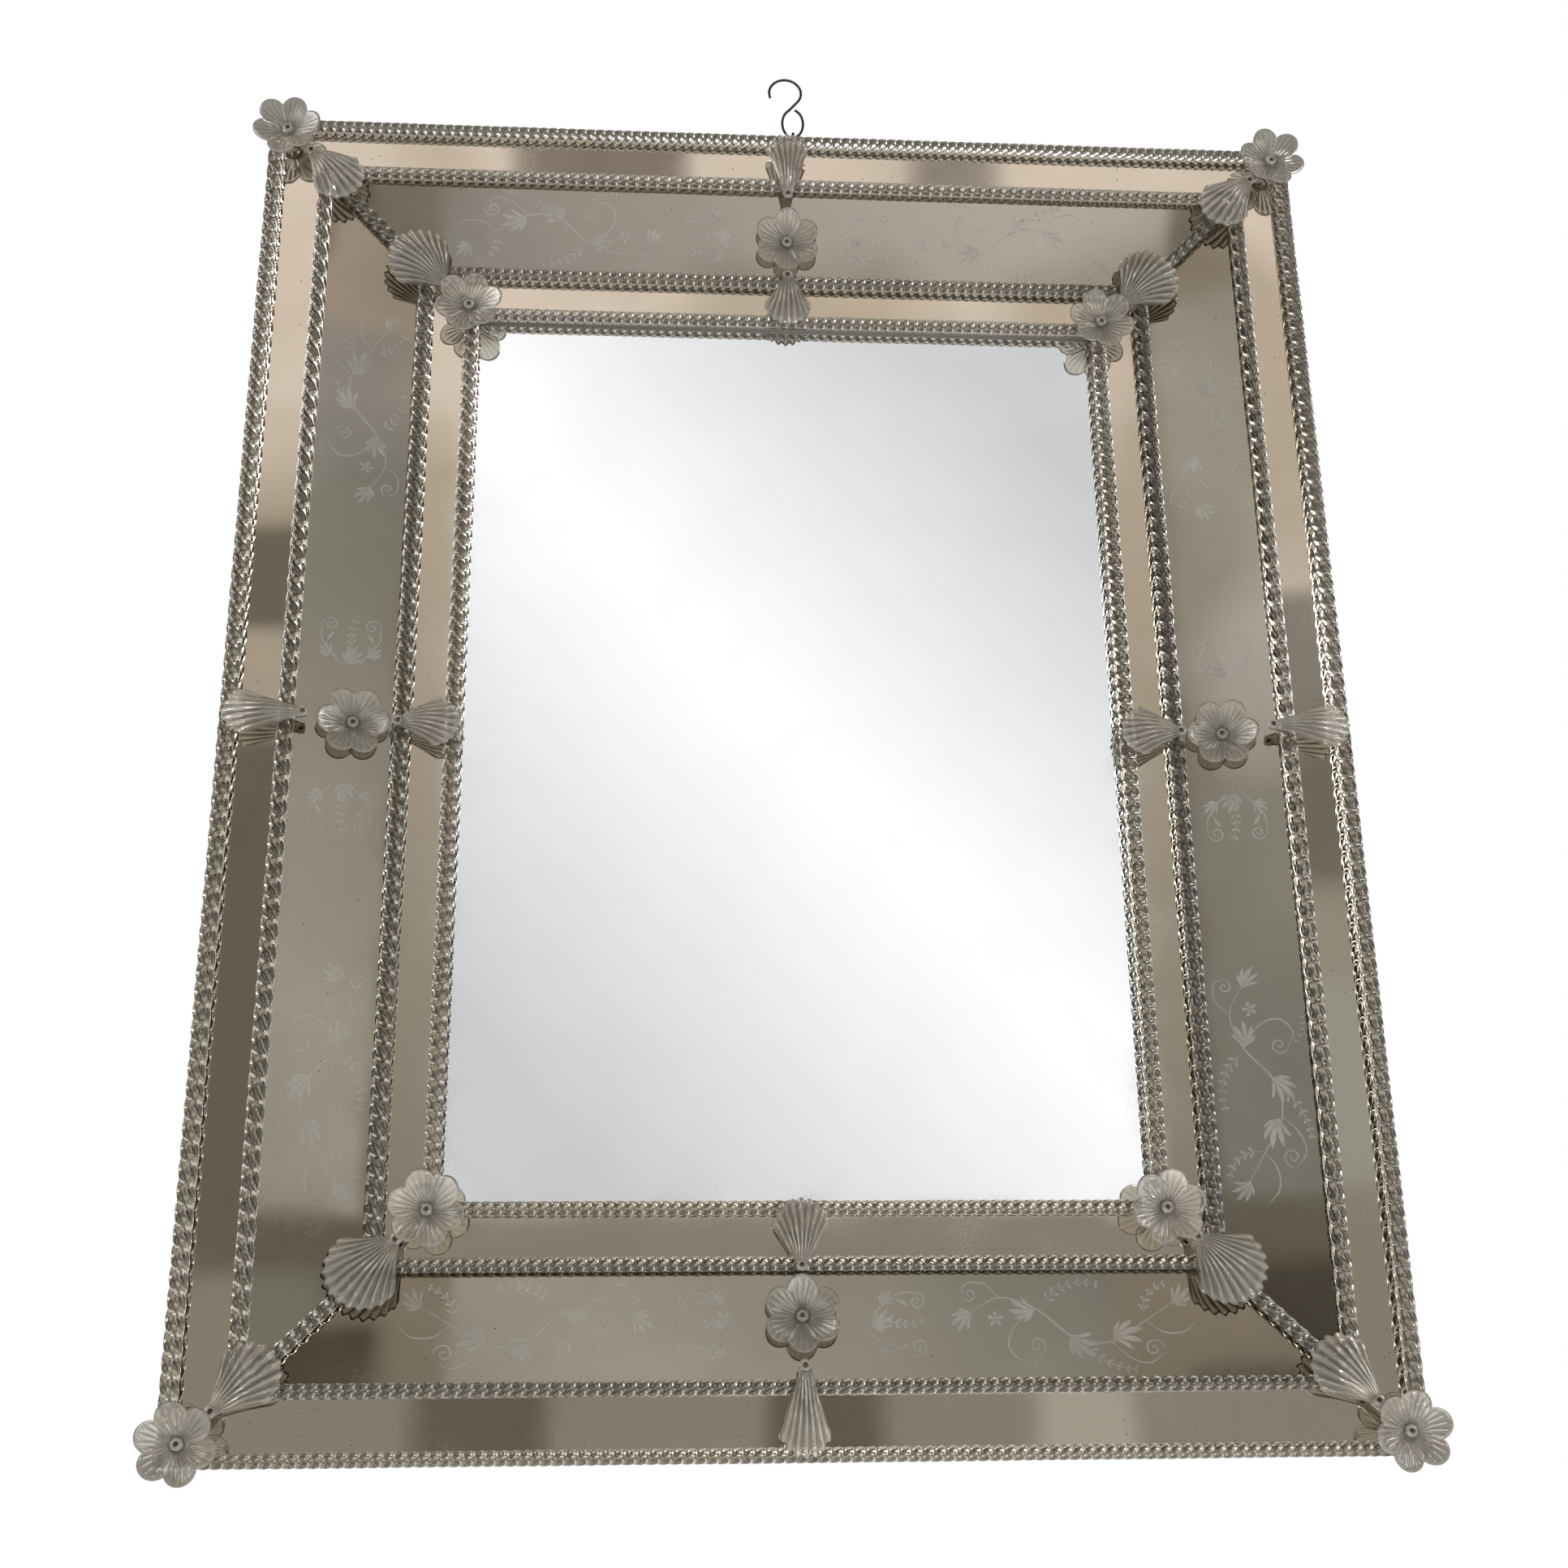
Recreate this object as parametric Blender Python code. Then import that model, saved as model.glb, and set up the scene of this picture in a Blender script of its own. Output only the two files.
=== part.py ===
"""Venetian wall mirror: stepped mirror glass, twisted glass ropes, glass flowers and leaves.

The frame is +Z up, the front faces -Y, and the back lies in the plane Y = 0 with the origin at
its centre. Sizes are in metres. Along a side of the frame, "inset" is the distance inward from
the outer edge of the outer rope, and "front" is the distance forward from the back plane.
"""
import math

import bmesh
import bpy
import numpy as np
from mathutils import Matrix, Vector

# Overall size, over the outer ropes
WIDTH = 1.05
HEIGHT = 1.30

# Ropes, thicker on the upright sides, and the insets of their centre lines
LEVEL_ROPE_RADIUS = 0.0065
UPRIGHT_ROPE_RADIUS = 0.0080
RIDGE_INSET = 0.060
BAND_INSET = 0.162
INNER_INSET = 0.209

# Wood carcass and back panel
WOOD_INSET = 0.002
WOOD_INNER_INSET = 0.200
RAIL_OUTER_FRONT = 0.034
RAIL_INNER_FRONT = 0.014
PANEL_THICKNESS = 0.0097

# Mirror glass
GLASS = 0.004
STRIP_EDGE_INSET = 0.003
STRIP_OVERHANG = 0.004
JOINT_GAP = 0.0008
GAP = 0.0003

# Flowers
FLOWER_RADIUS = 0.034
FLOWER_RISE = 0.0135
FLOWER_BASE = 0.010
PETALS = 6
PETAL_GLASS = 0.0022
PETAL_NOTCH = 0.24
PETAL_CREASE = 0.0014
CUP_FLOOR = 0.0036
BEAD_RADIUS = 0.0045
BEAD_HEIGHT = 0.0045
OUTER_FLOWER_INSET = 0.020
INNER_FLOWER_INSET = 0.207
MID_FLOWER_INSET = 0.1175

# Leaves: spread is the half angle of the fan, rounding how far its sides fall short of the tip
LEAF_GLASS = 0.003
LEAF_ARCH = 0.0085
RIB_DEPTH = 0.0020
STEM_WIDTH = 0.009
OUTER_LEAF = {"length": 0.074, "spread": 21.5, "rounding": 0.20, "ribs": 8}
INNER_LEAF = {"length": 0.057, "spread": 36.0, "rounding": 0.28, "ribs": 8}
OUTER_CORNER_LEAF = {"length": 0.067, "spread": 38.0, "rounding": 0.34, "ribs": 10}
INNER_CORNER_LEAF = {"length": 0.069, "spread": 48.0, "rounding": 0.36, "ribs": 10}
OUTER_LEAF_BEAD_INSET = 0.077
INNER_LEAF_BEAD_INSET = 0.160
CORNER_BEAD_DISTANCE = 0.035
CORNER_STEM_TAIL = 0.024
MID_STEM_TAIL = 0.003
INNER_CORNER_LIFT = math.radians(5.5)

# Hanging hook and screw eye
HOOK_WIRE = 0.0027
HOOK_OFFSET = 0.009
HOOK_FRONT = 0.017
HOOK_RADIUS = 0.0170
HOOK_EYE_HALF_WIDTH = 0.011
HOOK_EYE_HALF_HEIGHT = 0.0175
HOOK_WAIST = 0.0385
HOOK_LEAN = 0.0076
SCREW_WIRE = 0.003
SCREW_EYE_RADIUS = 0.008
SCREW_EYE_STANDOFF = 0.0100
SCREW_DEPTH = 0.014
SCREW_HOLE_CLEARANCE = 0.0003

SLOPE = (RAIL_OUTER_FRONT - RAIL_INNER_FRONT) / (BAND_INSET - RIDGE_INSET)
SLOPE_ANGLE = math.atan(SLOPE)
HIGH_ROPE_BASE = RAIL_OUTER_FRONT + GLASS + 2 * GAP
LOW_ROPE_BASE = RAIL_INNER_FRONT + GLASS + 3 * GAP

FORWARD = Vector((0, -1, 0))
SIDES = {
    "bottom": (Vector((0, 0, 1)), HEIGHT / 2, WIDTH / 2),
    "right": (Vector((-1, 0, 0)), WIDTH / 2, HEIGHT / 2),
    "top": (Vector((0, 0, -1)), HEIGHT / 2, WIDTH / 2),
    "left": (Vector((1, 0, 0)), WIDTH / 2, HEIGHT / 2),
}
CORNERS = {
    "bottom_left": (-1, -1),
    "bottom_right": (1, -1),
    "top_right": (1, 1),
    "top_left": (-1, 1),
}


def frame_matrix(origin, inward, forward=FORWARD):
    """Matrix with local Y pointing inward, local Z forward and local X across."""
    across = inward.cross(forward).normalized()
    matrix = Matrix((across, inward, forward)).transposed().to_4x4()
    matrix.translation = origin
    return matrix


def side_matrix(side):
    """Frame of one side: X along it, Y inward from its outer edge, Z forward."""
    inward, distance, _ = SIDES[side]
    return frame_matrix(-inward * distance, inward)


def corner_matrix(corner):
    """Frame of one corner: Y runs inward along the diagonal, Z forward."""
    sign_x, sign_z = CORNERS[corner]
    origin = Vector((sign_x * WIDTH / 2, 0, sign_z * HEIGHT / 2))
    return frame_matrix(origin, Vector((-sign_x, 0, -sign_z)).normalized())


def diagonal(inset):
    """Distance from the corner along the diagonal at which both insets have this value."""
    return inset * math.sqrt(2)


def slope_front(inset):
    """Front of the sloping wood under the wide band at an inset."""
    return RAIL_OUTER_FRONT - SLOPE * (inset - RIDGE_INSET)


def rope_radius(side):
    return UPRIGHT_ROPE_RADIUS if side in ("left", "right") else LEVEL_ROPE_RADIUS


def over_rope(base, radius):
    """Front at which an ornament clears a rope of this radius that lies on the base."""
    return base + 2 * radius + GAP


def make_material(name, color, roughness, metallic=0.0, transmission=0.0):
    material = bpy.data.materials.new(name)
    material.use_nodes = True
    shader = material.node_tree.nodes["Principled BSDF"]
    shader.inputs["Base Color"].default_value = (*color, 1)
    shader.inputs["Roughness"].default_value = roughness
    shader.inputs["Metallic"].default_value = metallic
    shader.inputs["Transmission Weight"].default_value = transmission
    return material


def add_object(name, mesh, material, matrix, collection):
    if not mesh.materials:
        mesh.materials.append(material)
    item = bpy.data.objects.new(name, mesh)
    collection.objects.link(item)
    item.matrix_world = matrix
    return item


def smooth(mesh, angle=35):
    mesh.shade_smooth()
    mesh.set_sharp_from_angle(angle=math.radians(angle))


def mitred_bar(name, profile, half_length):
    """Bar along X with a cross-section of (inset, front) points, mitred at 45 degrees."""
    shape = bmesh.new()
    start = [shape.verts.new((0, inset, front)) for inset, front in profile]
    face = shape.faces.new(start)
    extruded = bmesh.ops.extrude_face_region(shape, geom=[face])
    for vert in extruded["geom"]:
        if isinstance(vert, bmesh.types.BMVert):
            vert.co.x = half_length - GAP - vert.co.y
    for vert in start:
        vert.co.x = GAP + vert.co.y - half_length
    bmesh.ops.recalc_face_normals(shape, faces=shape.faces)
    mesh = bpy.data.meshes.new(name)
    shape.to_mesh(mesh)
    shape.free()
    return mesh


def round_profile(inset, front, radius, sides=12):
    """Circle of the rope's radius in the cross-section plane."""
    turn = [2 * math.pi * (k + 0.5) / sides for k in range(sides)]
    return [(inset + radius * math.cos(a), front + radius * math.sin(a)) for a in turn]


def glass_profile(inset_a, front_a, inset_b, front_b):
    """Plate lying on the line from a to b, one glass thickness deep."""
    depth = GLASS / math.cos(math.atan2(front_b - front_a, inset_b - inset_a))
    return [
        (inset_a, front_a + GAP),
        (inset_b, front_b + GAP),
        (inset_b, front_b + GAP + depth),
        (inset_a, front_a + GAP + depth),
    ]


def closed_loft(name, rings, start_pole=None, end_pole=None):
    """Closed body through rings of equal point count, ended by a pole or a flat cap."""
    count = len(rings[0])
    points = [tuple(point) for ring in rings for point in ring]
    faces = []
    for r in range(len(rings) - 1):
        for k in range(count):
            following = (k + 1) % count
            faces.append((r * count + k, r * count + following,
                          (r + 1) * count + following, (r + 1) * count + k))
    last = (len(rings) - 1) * count
    for pole, base, flip in ((start_pole, 0, True), (end_pole, last, False)):
        if pole is None:
            cap = range(base, base + count)
            faces.append(tuple(reversed(cap)) if flip else tuple(cap))
            continue
        points.append(pole)
        top = len(points) - 1
        for k in range(count):
            pair = (base + k, base + (k + 1) % count)
            faces.append((pair[1], pair[0], top) if flip else (*pair, top))
    mesh = bpy.data.meshes.new(name)
    mesh.from_pydata(points, [], faces)
    shape = bmesh.new()
    shape.from_mesh(mesh)
    bmesh.ops.recalc_face_normals(shape, faces=shape.faces)
    shape.to_mesh(mesh)
    shape.free()
    return mesh


def flower_mesh():
    """Cupped flower: each ring's radius dips and its height rises between the petals."""
    angle = np.linspace(0, 2 * math.pi, 4 * PETALS, endpoint=False)
    seam = 0.5 - 0.5 * np.cos(PETALS * angle)

    def ring(radius, height, notch, lift):
        reach = radius * (1 - notch * seam)
        return np.stack([reach * np.sin(angle), reach * np.cos(angle), height + lift * seam], axis=1)

    rim = FLOWER_RADIUS
    under = rim - PETAL_GLASS / 2
    waist = 0.26 * FLOWER_RISE
    rings = [
        ring(BEAD_RADIUS, CUP_FLOOR, 0.0, 0.0),
        ring(0.56 * rim, CUP_FLOOR + waist, PETAL_NOTCH / 4, PETAL_CREASE),
        ring(rim, FLOWER_RISE, PETAL_NOTCH, PETAL_CREASE),
        ring(under, FLOWER_RISE - PETAL_GLASS, PETAL_NOTCH, PETAL_CREASE),
        ring(0.60 * rim, waist, PETAL_NOTCH / 4, PETAL_CREASE),
        ring(FLOWER_BASE, 0.0, 0.0, 0.0),
    ]
    mesh = closed_loft("flower", rings, (0, 0, CUP_FLOOR + BEAD_HEIGHT), (0, 0, 0))
    smooth(mesh)
    return mesh


def leaf_mesh(name, form, tail, lift=0.0):
    """Ribbed, domed leaf fanning along +Y from the bead at the local origin.

    A point lies on a ray from the bead: its angle is the spread times v, from -1 to 1 across
    the leaf, and its distance shrinks with v squared. The dome falls to nothing at every edge,
    and ribs fan out as alternate high and low rays.
    """
    length = form["length"]
    across = np.linspace(-1, 1, form["ribs"] + 1)
    ridge = np.arange(form["ribs"] + 1) % 2
    angle = math.radians(form["spread"]) * across
    stations = ((0.0, 1.0), (0.13, 0.0), (0.36, 0.0), (0.66, 0.0), (0.88, 0.0), (1.0, 0.0))
    rings = []
    for reach, bead in ((None, 0.0), *stations):
        if reach is None:
            reach = 0.0
            x = STEM_WIDTH / 2 * across
            y = np.full_like(across, -tail)
        else:
            scallop = 1 - 0.035 * reach * (1 - ridge)
            radius = length * reach * (1 - form["rounding"] * across ** 2) * scallop
            x = radius * np.sin(angle) + STEM_WIDTH / 2 * across * (1 - reach) ** 2
            y = radius * np.cos(angle)
        dome = LEAF_ARCH * math.sin(math.pi * reach ** 0.8) * (1 - across ** 2)
        low = dome + RIB_DEPTH * reach * ridge + math.tan(lift) * np.maximum(y, 0.0)
        high = low + LEAF_GLASS + bead * BEAD_HEIGHT * (1 - across ** 2)
        under = np.stack([x, y, low], axis=1)
        over = np.stack([x, y, high], axis=1)
        rings.append(np.concatenate([over, under[::-1]]))
    mesh = closed_loft(name, rings)
    smooth(mesh)
    return mesh


def spray_mesh(name, flower, leaf):
    """Flower and leaf of one corner as a single body, the stem let into the flower's foot."""
    scene_collection = bpy.context.scene.collection
    base = bpy.data.objects.new(name, flower.copy())
    other = bpy.data.objects.new(name + "_leaf", leaf)
    for item in (base, other):
        scene_collection.objects.link(item)
    other.location.y = CORNER_BEAD_DISTANCE
    union = base.modifiers.new("join", "BOOLEAN")
    union.operation = "UNION"
    union.solver = "EXACT"
    union.object = other
    bpy.context.view_layer.update()
    evaluated = base.evaluated_get(bpy.context.evaluated_depsgraph_get())
    mesh = bpy.data.meshes.new_from_object(evaluated)
    mesh.name = name
    for item in (base, other):
        bpy.data.objects.remove(item)
    return mesh


def wire_object(name, points, diameter, material, collection):
    """Round wire with closed ends through a list of points."""
    curve = bpy.data.curves.new(name, "CURVE")
    curve.dimensions = "3D"
    curve.bevel_depth = diameter / 2
    curve.bevel_resolution = 2
    curve.use_fill_caps = True
    spline = curve.splines.new("POLY")
    spline.points.add(len(points) - 1)
    for point, place in zip(spline.points, points):
        point.co = (*place, 1)
    curve.materials.append(material)
    item = bpy.data.objects.new(name, curve)
    collection.objects.link(item)
    return item


def arc(center, radius_x, radius_z, start, end, count):
    """Points of an elliptical arc in the (x, z) plane, angles in degrees."""
    angles = np.radians(np.linspace(start, end, count))
    return [(center[0] + radius_x * math.cos(a), center[1] + radius_z * math.sin(a)) for a in angles]


def build_carcass(wood, collection):
    """Four mitred wood rails, flat outside, sloping to a lower flat inside, and the back panel."""
    profile = [
        (WOOD_INSET, 0), (WOOD_INNER_INSET, 0), (WOOD_INNER_INSET, RAIL_INNER_FRONT),
        (BAND_INSET, RAIL_INNER_FRONT), (RIDGE_INSET, RAIL_OUTER_FRONT), (WOOD_INSET, RAIL_OUTER_FRONT),
    ]
    rails = {}
    for side, (_, _, half_length) in SIDES.items():
        mesh = mitred_bar("wood_rail", profile, half_length)
        rails[side] = add_object("wood_rail_" + side, mesh, wood, side_matrix(side), collection)
    inset = WOOD_INNER_INSET + GAP
    panel = box_mesh("back_panel", WIDTH / 2 - inset, HEIGHT / 2 - inset, 0.0, PANEL_THICKNESS)
    add_object("back_panel", panel, wood, Matrix(), collection)
    return rails


def box_mesh(name, half_x, half_z, back, front):
    shape = bmesh.new()
    size = Matrix.Diagonal((2 * half_x, front - back, 2 * half_z, 1))
    place = Matrix.Translation((0, -(front + back) / 2, 0))
    bmesh.ops.create_cube(shape, size=1, matrix=place @ size)
    mesh = bpy.data.meshes.new(name)
    shape.to_mesh(mesh)
    shape.free()
    return mesh


def build_plates(mirror, collection):
    """Centre plate held under the overhanging inner strips, and three rows of strips."""
    edge = WOOD_INNER_INSET + 4 * GAP
    front = RAIL_INNER_FRONT
    plate = box_mesh("center_mirror", WIDTH / 2 - edge, HEIGHT / 2 - edge, front - GLASS, front)
    add_object("center_mirror", plate, mirror, Matrix(), collection)
    half_joint = JOINT_GAP / 2
    band_start = RIDGE_INSET + half_joint
    band_end = BAND_INSET - half_joint
    rows = {
        "outer_strip": (STRIP_EDGE_INSET, RAIL_OUTER_FRONT, RIDGE_INSET - half_joint, RAIL_OUTER_FRONT),
        "engraved_band": (band_start, slope_front(band_start), band_end, slope_front(band_end)),
        "inner_strip": (BAND_INSET + half_joint, RAIL_INNER_FRONT,
                        INNER_INSET + STRIP_OVERHANG, RAIL_INNER_FRONT),
    }
    for row, ends in rows.items():
        for side, (_, _, half_length) in SIDES.items():
            mesh = mitred_bar(row, glass_profile(*ends), half_length)
            add_object(f"{row}_{side}", mesh, mirror, side_matrix(side), collection)


def build_ropes(glass, collection):
    """Four mitred rings of glass rope, and one rope down each mitre of the engraved band.

    The outer rope's own edge is the outline of the frame, so its inset is its radius.
    """
    rows = {
        "outer_rope": (0.0, HIGH_ROPE_BASE),
        "ridge_rope": (RIDGE_INSET, HIGH_ROPE_BASE),
        "band_rope": (BAND_INSET, LOW_ROPE_BASE),
        "inner_rope": (INNER_INSET, LOW_ROPE_BASE),
    }
    for row, (inset, rope_base) in rows.items():
        for side, (_, _, half_length) in SIDES.items():
            radius = rope_radius(side)
            profile = round_profile(max(inset, radius), rope_base + radius, radius)
            mesh = mitred_bar(row, profile, half_length)
            smooth(mesh)
            add_object(f"{row}_{side}", mesh, glass, side_matrix(side), collection)
    clear = UPRIGHT_ROPE_RADIUS + LEVEL_ROPE_RADIUS * math.sqrt(0.5) + GAP
    height = (LEVEL_ROPE_RADIUS + GAP + GLASS) / math.cos(SLOPE_ANGLE) + GAP
    ends = [
        Vector((0, diagonal(inset), slope_front(inset) + height))
        for inset in (RIDGE_INSET + clear, BAND_INSET - clear)
    ]
    run = ends[1] - ends[0]
    turn = run.to_track_quat("Z", "X").to_matrix().to_4x4()
    place = Matrix.Translation((ends[0] + ends[1]) / 2) @ turn
    for corner in CORNERS:
        shape = bmesh.new()
        bmesh.ops.create_cone(shape, cap_ends=True, segments=12, radius1=LEVEL_ROPE_RADIUS,
                              radius2=LEVEL_ROPE_RADIUS, depth=run.length)
        mesh = bpy.data.meshes.new("mitre_rope")
        shape.to_mesh(mesh)
        shape.free()
        smooth(mesh)
        add_object("mitre_rope_" + corner, mesh, glass, corner_matrix(corner) @ place, collection)


def build_ornaments(glass, collection):
    """Flower and leaf sprays at the corners, a flower between two leaves on each side."""
    flower = flower_mesh()
    half_turn = Matrix.Rotation(math.pi, 4, "Z")
    outer_spray = spray_mesh("outer_spray", flower,
                             leaf_mesh("corner_leaf", OUTER_CORNER_LEAF, CORNER_STEM_TAIL))
    inner_spray = spray_mesh("inner_spray", flower, leaf_mesh("corner_leaf", INNER_CORNER_LEAF,
                                                              CORNER_STEM_TAIL, INNER_CORNER_LIFT))
    high = over_rope(HIGH_ROPE_BASE, UPRIGHT_ROPE_RADIUS)
    low = over_rope(LOW_ROPE_BASE, UPRIGHT_ROPE_RADIUS)
    for corner in CORNERS:
        base = corner_matrix(corner)
        outer = Matrix.Translation((0, diagonal(OUTER_FLOWER_INSET), high))
        inner = Matrix.Translation((0, diagonal(INNER_FLOWER_INSET), low)) @ half_turn
        add_object("outer_spray_" + corner, outer_spray, glass, base @ outer, collection)
        add_object("inner_spray_" + corner, inner_spray, glass, base @ inner, collection)

    outer_leaf = leaf_mesh("outer_leaf", OUTER_LEAF, MID_STEM_TAIL)
    inner_leaf = leaf_mesh("inner_leaf", INNER_LEAF, MID_STEM_TAIL)
    plate_front = slope_front(MID_FLOWER_INSET) + GLASS / math.cos(SLOPE_ANGLE) + 2 * GAP
    tilt = Matrix.Rotation(-SLOPE_ANGLE, 4, "X")
    for side in SIDES:
        base = side_matrix(side)
        high = over_rope(HIGH_ROPE_BASE, rope_radius(side))
        low = over_rope(LOW_ROPE_BASE, rope_radius(side))
        on_band = Matrix.Translation((0, MID_FLOWER_INSET, plate_front)) @ tilt
        outward = Matrix.Translation((0, OUTER_LEAF_BEAD_INSET, high)) @ half_turn
        inward = Matrix.Translation((0, INNER_LEAF_BEAD_INSET, low))
        add_object("side_flower_" + side, flower, glass, base @ on_band, collection)
        add_object("outer_leaf_" + side, outer_leaf, glass, base @ outward, collection)
        add_object("inner_leaf_" + side, inner_leaf, glass, base @ inward, collection)


def build_hook(iron, top_rail, collection, cutters):
    """Screw eye in the top rail and the wire hook that links through it."""
    wood_top = HEIGHT / 2 - WOOD_INSET
    ring_low = wood_top + SCREW_EYE_STANDOFF
    ring_center = ring_low + SCREW_EYE_RADIUS
    ring = arc((-HOOK_FRONT, ring_center), SCREW_EYE_RADIUS, SCREW_EYE_RADIUS, -80, 244, 15)
    shank_low = wood_top - SCREW_DEPTH
    shank = [(-HOOK_FRONT, shank_low), (-HOOK_FRONT, ring_low - SCREW_WIRE)]
    screw = [(HOOK_OFFSET, y, z) for y, z in shank + ring]
    wire_object("screw_eye", screw, SCREW_WIRE, iron, collection)

    hole_radius = SCREW_WIRE / 2 + SCREW_HOLE_CLEARANCE
    hole_low = shank_low - SCREW_HOLE_CLEARANCE
    hole_high = wood_top + GLASS
    shape = bmesh.new()
    bmesh.ops.create_cone(shape, cap_ends=True, segments=16, radius1=hole_radius,
                          radius2=hole_radius, depth=hole_high - hole_low)
    mesh = bpy.data.meshes.new("screw_hole")
    shape.to_mesh(mesh)
    shape.free()
    hole = bpy.data.objects.new("screw_hole", mesh)
    hole.location = (HOOK_OFFSET, -HOOK_FRONT, (hole_low + hole_high) / 2)
    hole.hide_render = True
    hole.display_type = "WIRE"
    cutters.objects.link(hole)
    cut = top_rail.modifiers.new("screw_hole", "BOOLEAN")
    cut.operation = "DIFFERENCE"
    cut.solver = "EXACT"
    cut.object = hole

    ring_top_inside = ring_center + SCREW_EYE_RADIUS - SCREW_WIRE / 2
    eye_low = ring_top_inside - GAP - HOOK_WIRE / 2
    eye_center = (HOOK_OFFSET, eye_low + HOOK_EYE_HALF_HEIGHT)
    eye = arc(eye_center, HOOK_EYE_HALF_WIDTH, HOOK_EYE_HALF_HEIGHT, 80, -250, 17)
    hook_center = (HOOK_OFFSET - HOOK_LEAN, eye_center[1] + HOOK_WAIST)
    hook = arc(hook_center, HOOK_RADIUS, HOOK_RADIUS, -50, 205, 13)
    wire = [(x, -HOOK_FRONT, z) for x, z in eye + hook]
    wire_object("hanging_hook", wire, HOOK_WIRE, iron, collection)


def main():
    for item in list(bpy.data.objects):
        bpy.data.objects.remove(item, do_unlink=True)
    model = bpy.data.collections.new("wall_mirror")
    cutters = bpy.data.collections.new("cutters")
    for group in (model, cutters):
        bpy.context.scene.collection.children.link(group)

    wood = make_material("dark_wood", (0.10, 0.06, 0.035), 0.65)
    mirror = make_material("old_mirror", (0.72, 0.69, 0.64), 0.08, metallic=1.0)
    glass = make_material("clear_glass", (0.95, 0.95, 0.94), 0.04, transmission=0.9)
    iron = make_material("dark_iron", (0.06, 0.055, 0.05), 0.55, metallic=1.0)

    rails = build_carcass(wood, model)
    build_plates(mirror, model)
    build_ropes(glass, model)
    build_ornaments(glass, model)
    build_hook(iron, rails["top"], model, cutters)


main()
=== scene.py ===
"""Looks of the Venetian wall mirror: twisted glass ropes, pressed flowers and leaves, old silvering.

The frame is +Z up, the front faces -Y and the back lies in the plane Y = 0. Sizes are in metres.
Along a side, "inset" is the distance inward from the outer edge of the outer rope and "front" is
the distance forward from the back plane. Every new piece is worked out as whole numpy arrays.
"""
import math

import bpy
import numpy as np
from mathutils import Matrix, Vector


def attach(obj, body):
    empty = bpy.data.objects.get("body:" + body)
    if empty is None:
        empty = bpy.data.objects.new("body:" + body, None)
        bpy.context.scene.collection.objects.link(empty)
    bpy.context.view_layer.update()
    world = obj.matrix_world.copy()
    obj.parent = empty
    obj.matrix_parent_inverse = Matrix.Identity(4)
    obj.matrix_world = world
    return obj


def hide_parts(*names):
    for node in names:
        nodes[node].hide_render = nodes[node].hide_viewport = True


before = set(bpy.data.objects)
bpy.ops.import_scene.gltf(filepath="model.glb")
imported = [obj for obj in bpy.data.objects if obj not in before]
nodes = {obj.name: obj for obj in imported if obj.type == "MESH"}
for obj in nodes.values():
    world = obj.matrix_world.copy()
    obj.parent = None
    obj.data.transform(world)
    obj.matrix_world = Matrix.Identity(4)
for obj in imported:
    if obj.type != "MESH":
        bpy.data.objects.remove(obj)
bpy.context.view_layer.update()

# The frame's own sizes, as in the solids
WIDTH = 1.05
HEIGHT = 1.30
LEVEL_ROPE_RADIUS = 0.0065
UPRIGHT_ROPE_RADIUS = 0.0080
RIDGE_INSET = 0.060
BAND_INSET = 0.162
INNER_INSET = 0.209
RAIL_OUTER_FRONT = 0.034
RAIL_INNER_FRONT = 0.014
GLASS = 0.004
GAP = 0.0003
SLOPE = (RAIL_OUTER_FRONT - RAIL_INNER_FRONT) / (BAND_INSET - RIDGE_INSET)
SLOPE_ANGLE = math.atan(SLOPE)
SLOPED_GLASS = GLASS / math.cos(SLOPE_ANGLE)
HIGH_ROPE_BASE = RAIL_OUTER_FRONT + GLASS + 2 * GAP
LOW_ROPE_BASE = RAIL_INNER_FRONT + GLASS + 3 * GAP

# Twisted ropes: a groove between every two strands, and one lay, the length of a turn, to each row
# and direction. Being drawn by hand, a rope swells and its lay drifts, in waves of so many radians
# a metre
ROPE_STRANDS = 5
ROPE_GROOVE = 0.28
GROOVE_SOFTNESS = 0.14
# Painted shade in a rope's grooves: none where the crest is above the edge, full a fade below it
PAINTED_SHADE_EDGE = 0.58
PAINTED_SHADE_FADE = 0.12
POINTS_AROUND_ROPE = 40
RINGS_PER_TURN = 20
MITRE_RAMP = 0.014
ROPE_SWELL = 0.012
SWELL_WAVES = 37
LAY_DRIFT = 0.0016
DRIFT_WAVES = 23
ROPE_ROWS = {
    "outer_rope": {"inset": 0.0, "base": HIGH_ROPE_BASE, "level": 0.047, "upright": 0.086},
    "ridge_rope": {"inset": RIDGE_INSET, "base": HIGH_ROPE_BASE, "level": 0.052, "upright": 0.098},
    "band_rope": {"inset": BAND_INSET, "base": LOW_ROPE_BASE, "level": 0.048, "upright": 0.082},
    "inner_rope": {"inset": INNER_INSET, "base": LOW_ROPE_BASE, "level": 0.048, "upright": 0.070},
}
MITRE_ROPE_PITCH = 0.062

# Flowers, their ring beads and pins: a petal's middle and round are shares of the flower's radius
FLOWER_RADIUS = 0.0336
PETALS = 6
PETAL_MIDDLE = 0.605
PETAL_ROUND = 0.395
PETAL_HALF_ANGLE = math.asin(PETAL_ROUND / PETAL_MIDDLE)
PETAL_START = 0.0055
PETAL_FOOT = 0.0014
PETAL_RISE = 0.0122
PETAL_GLASS = 0.0019
PETAL_FLUTES = 7
FLUTE_DEPTH = 0.00042
PETAL_RISES = (1.06, 0.72, 0.98, 1.08, 0.78, 0.92)
PETAL_OVERLAP = 0.0012
PETAL_CUP = 0.0010
PETAL_LIP = 0.0012
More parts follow.
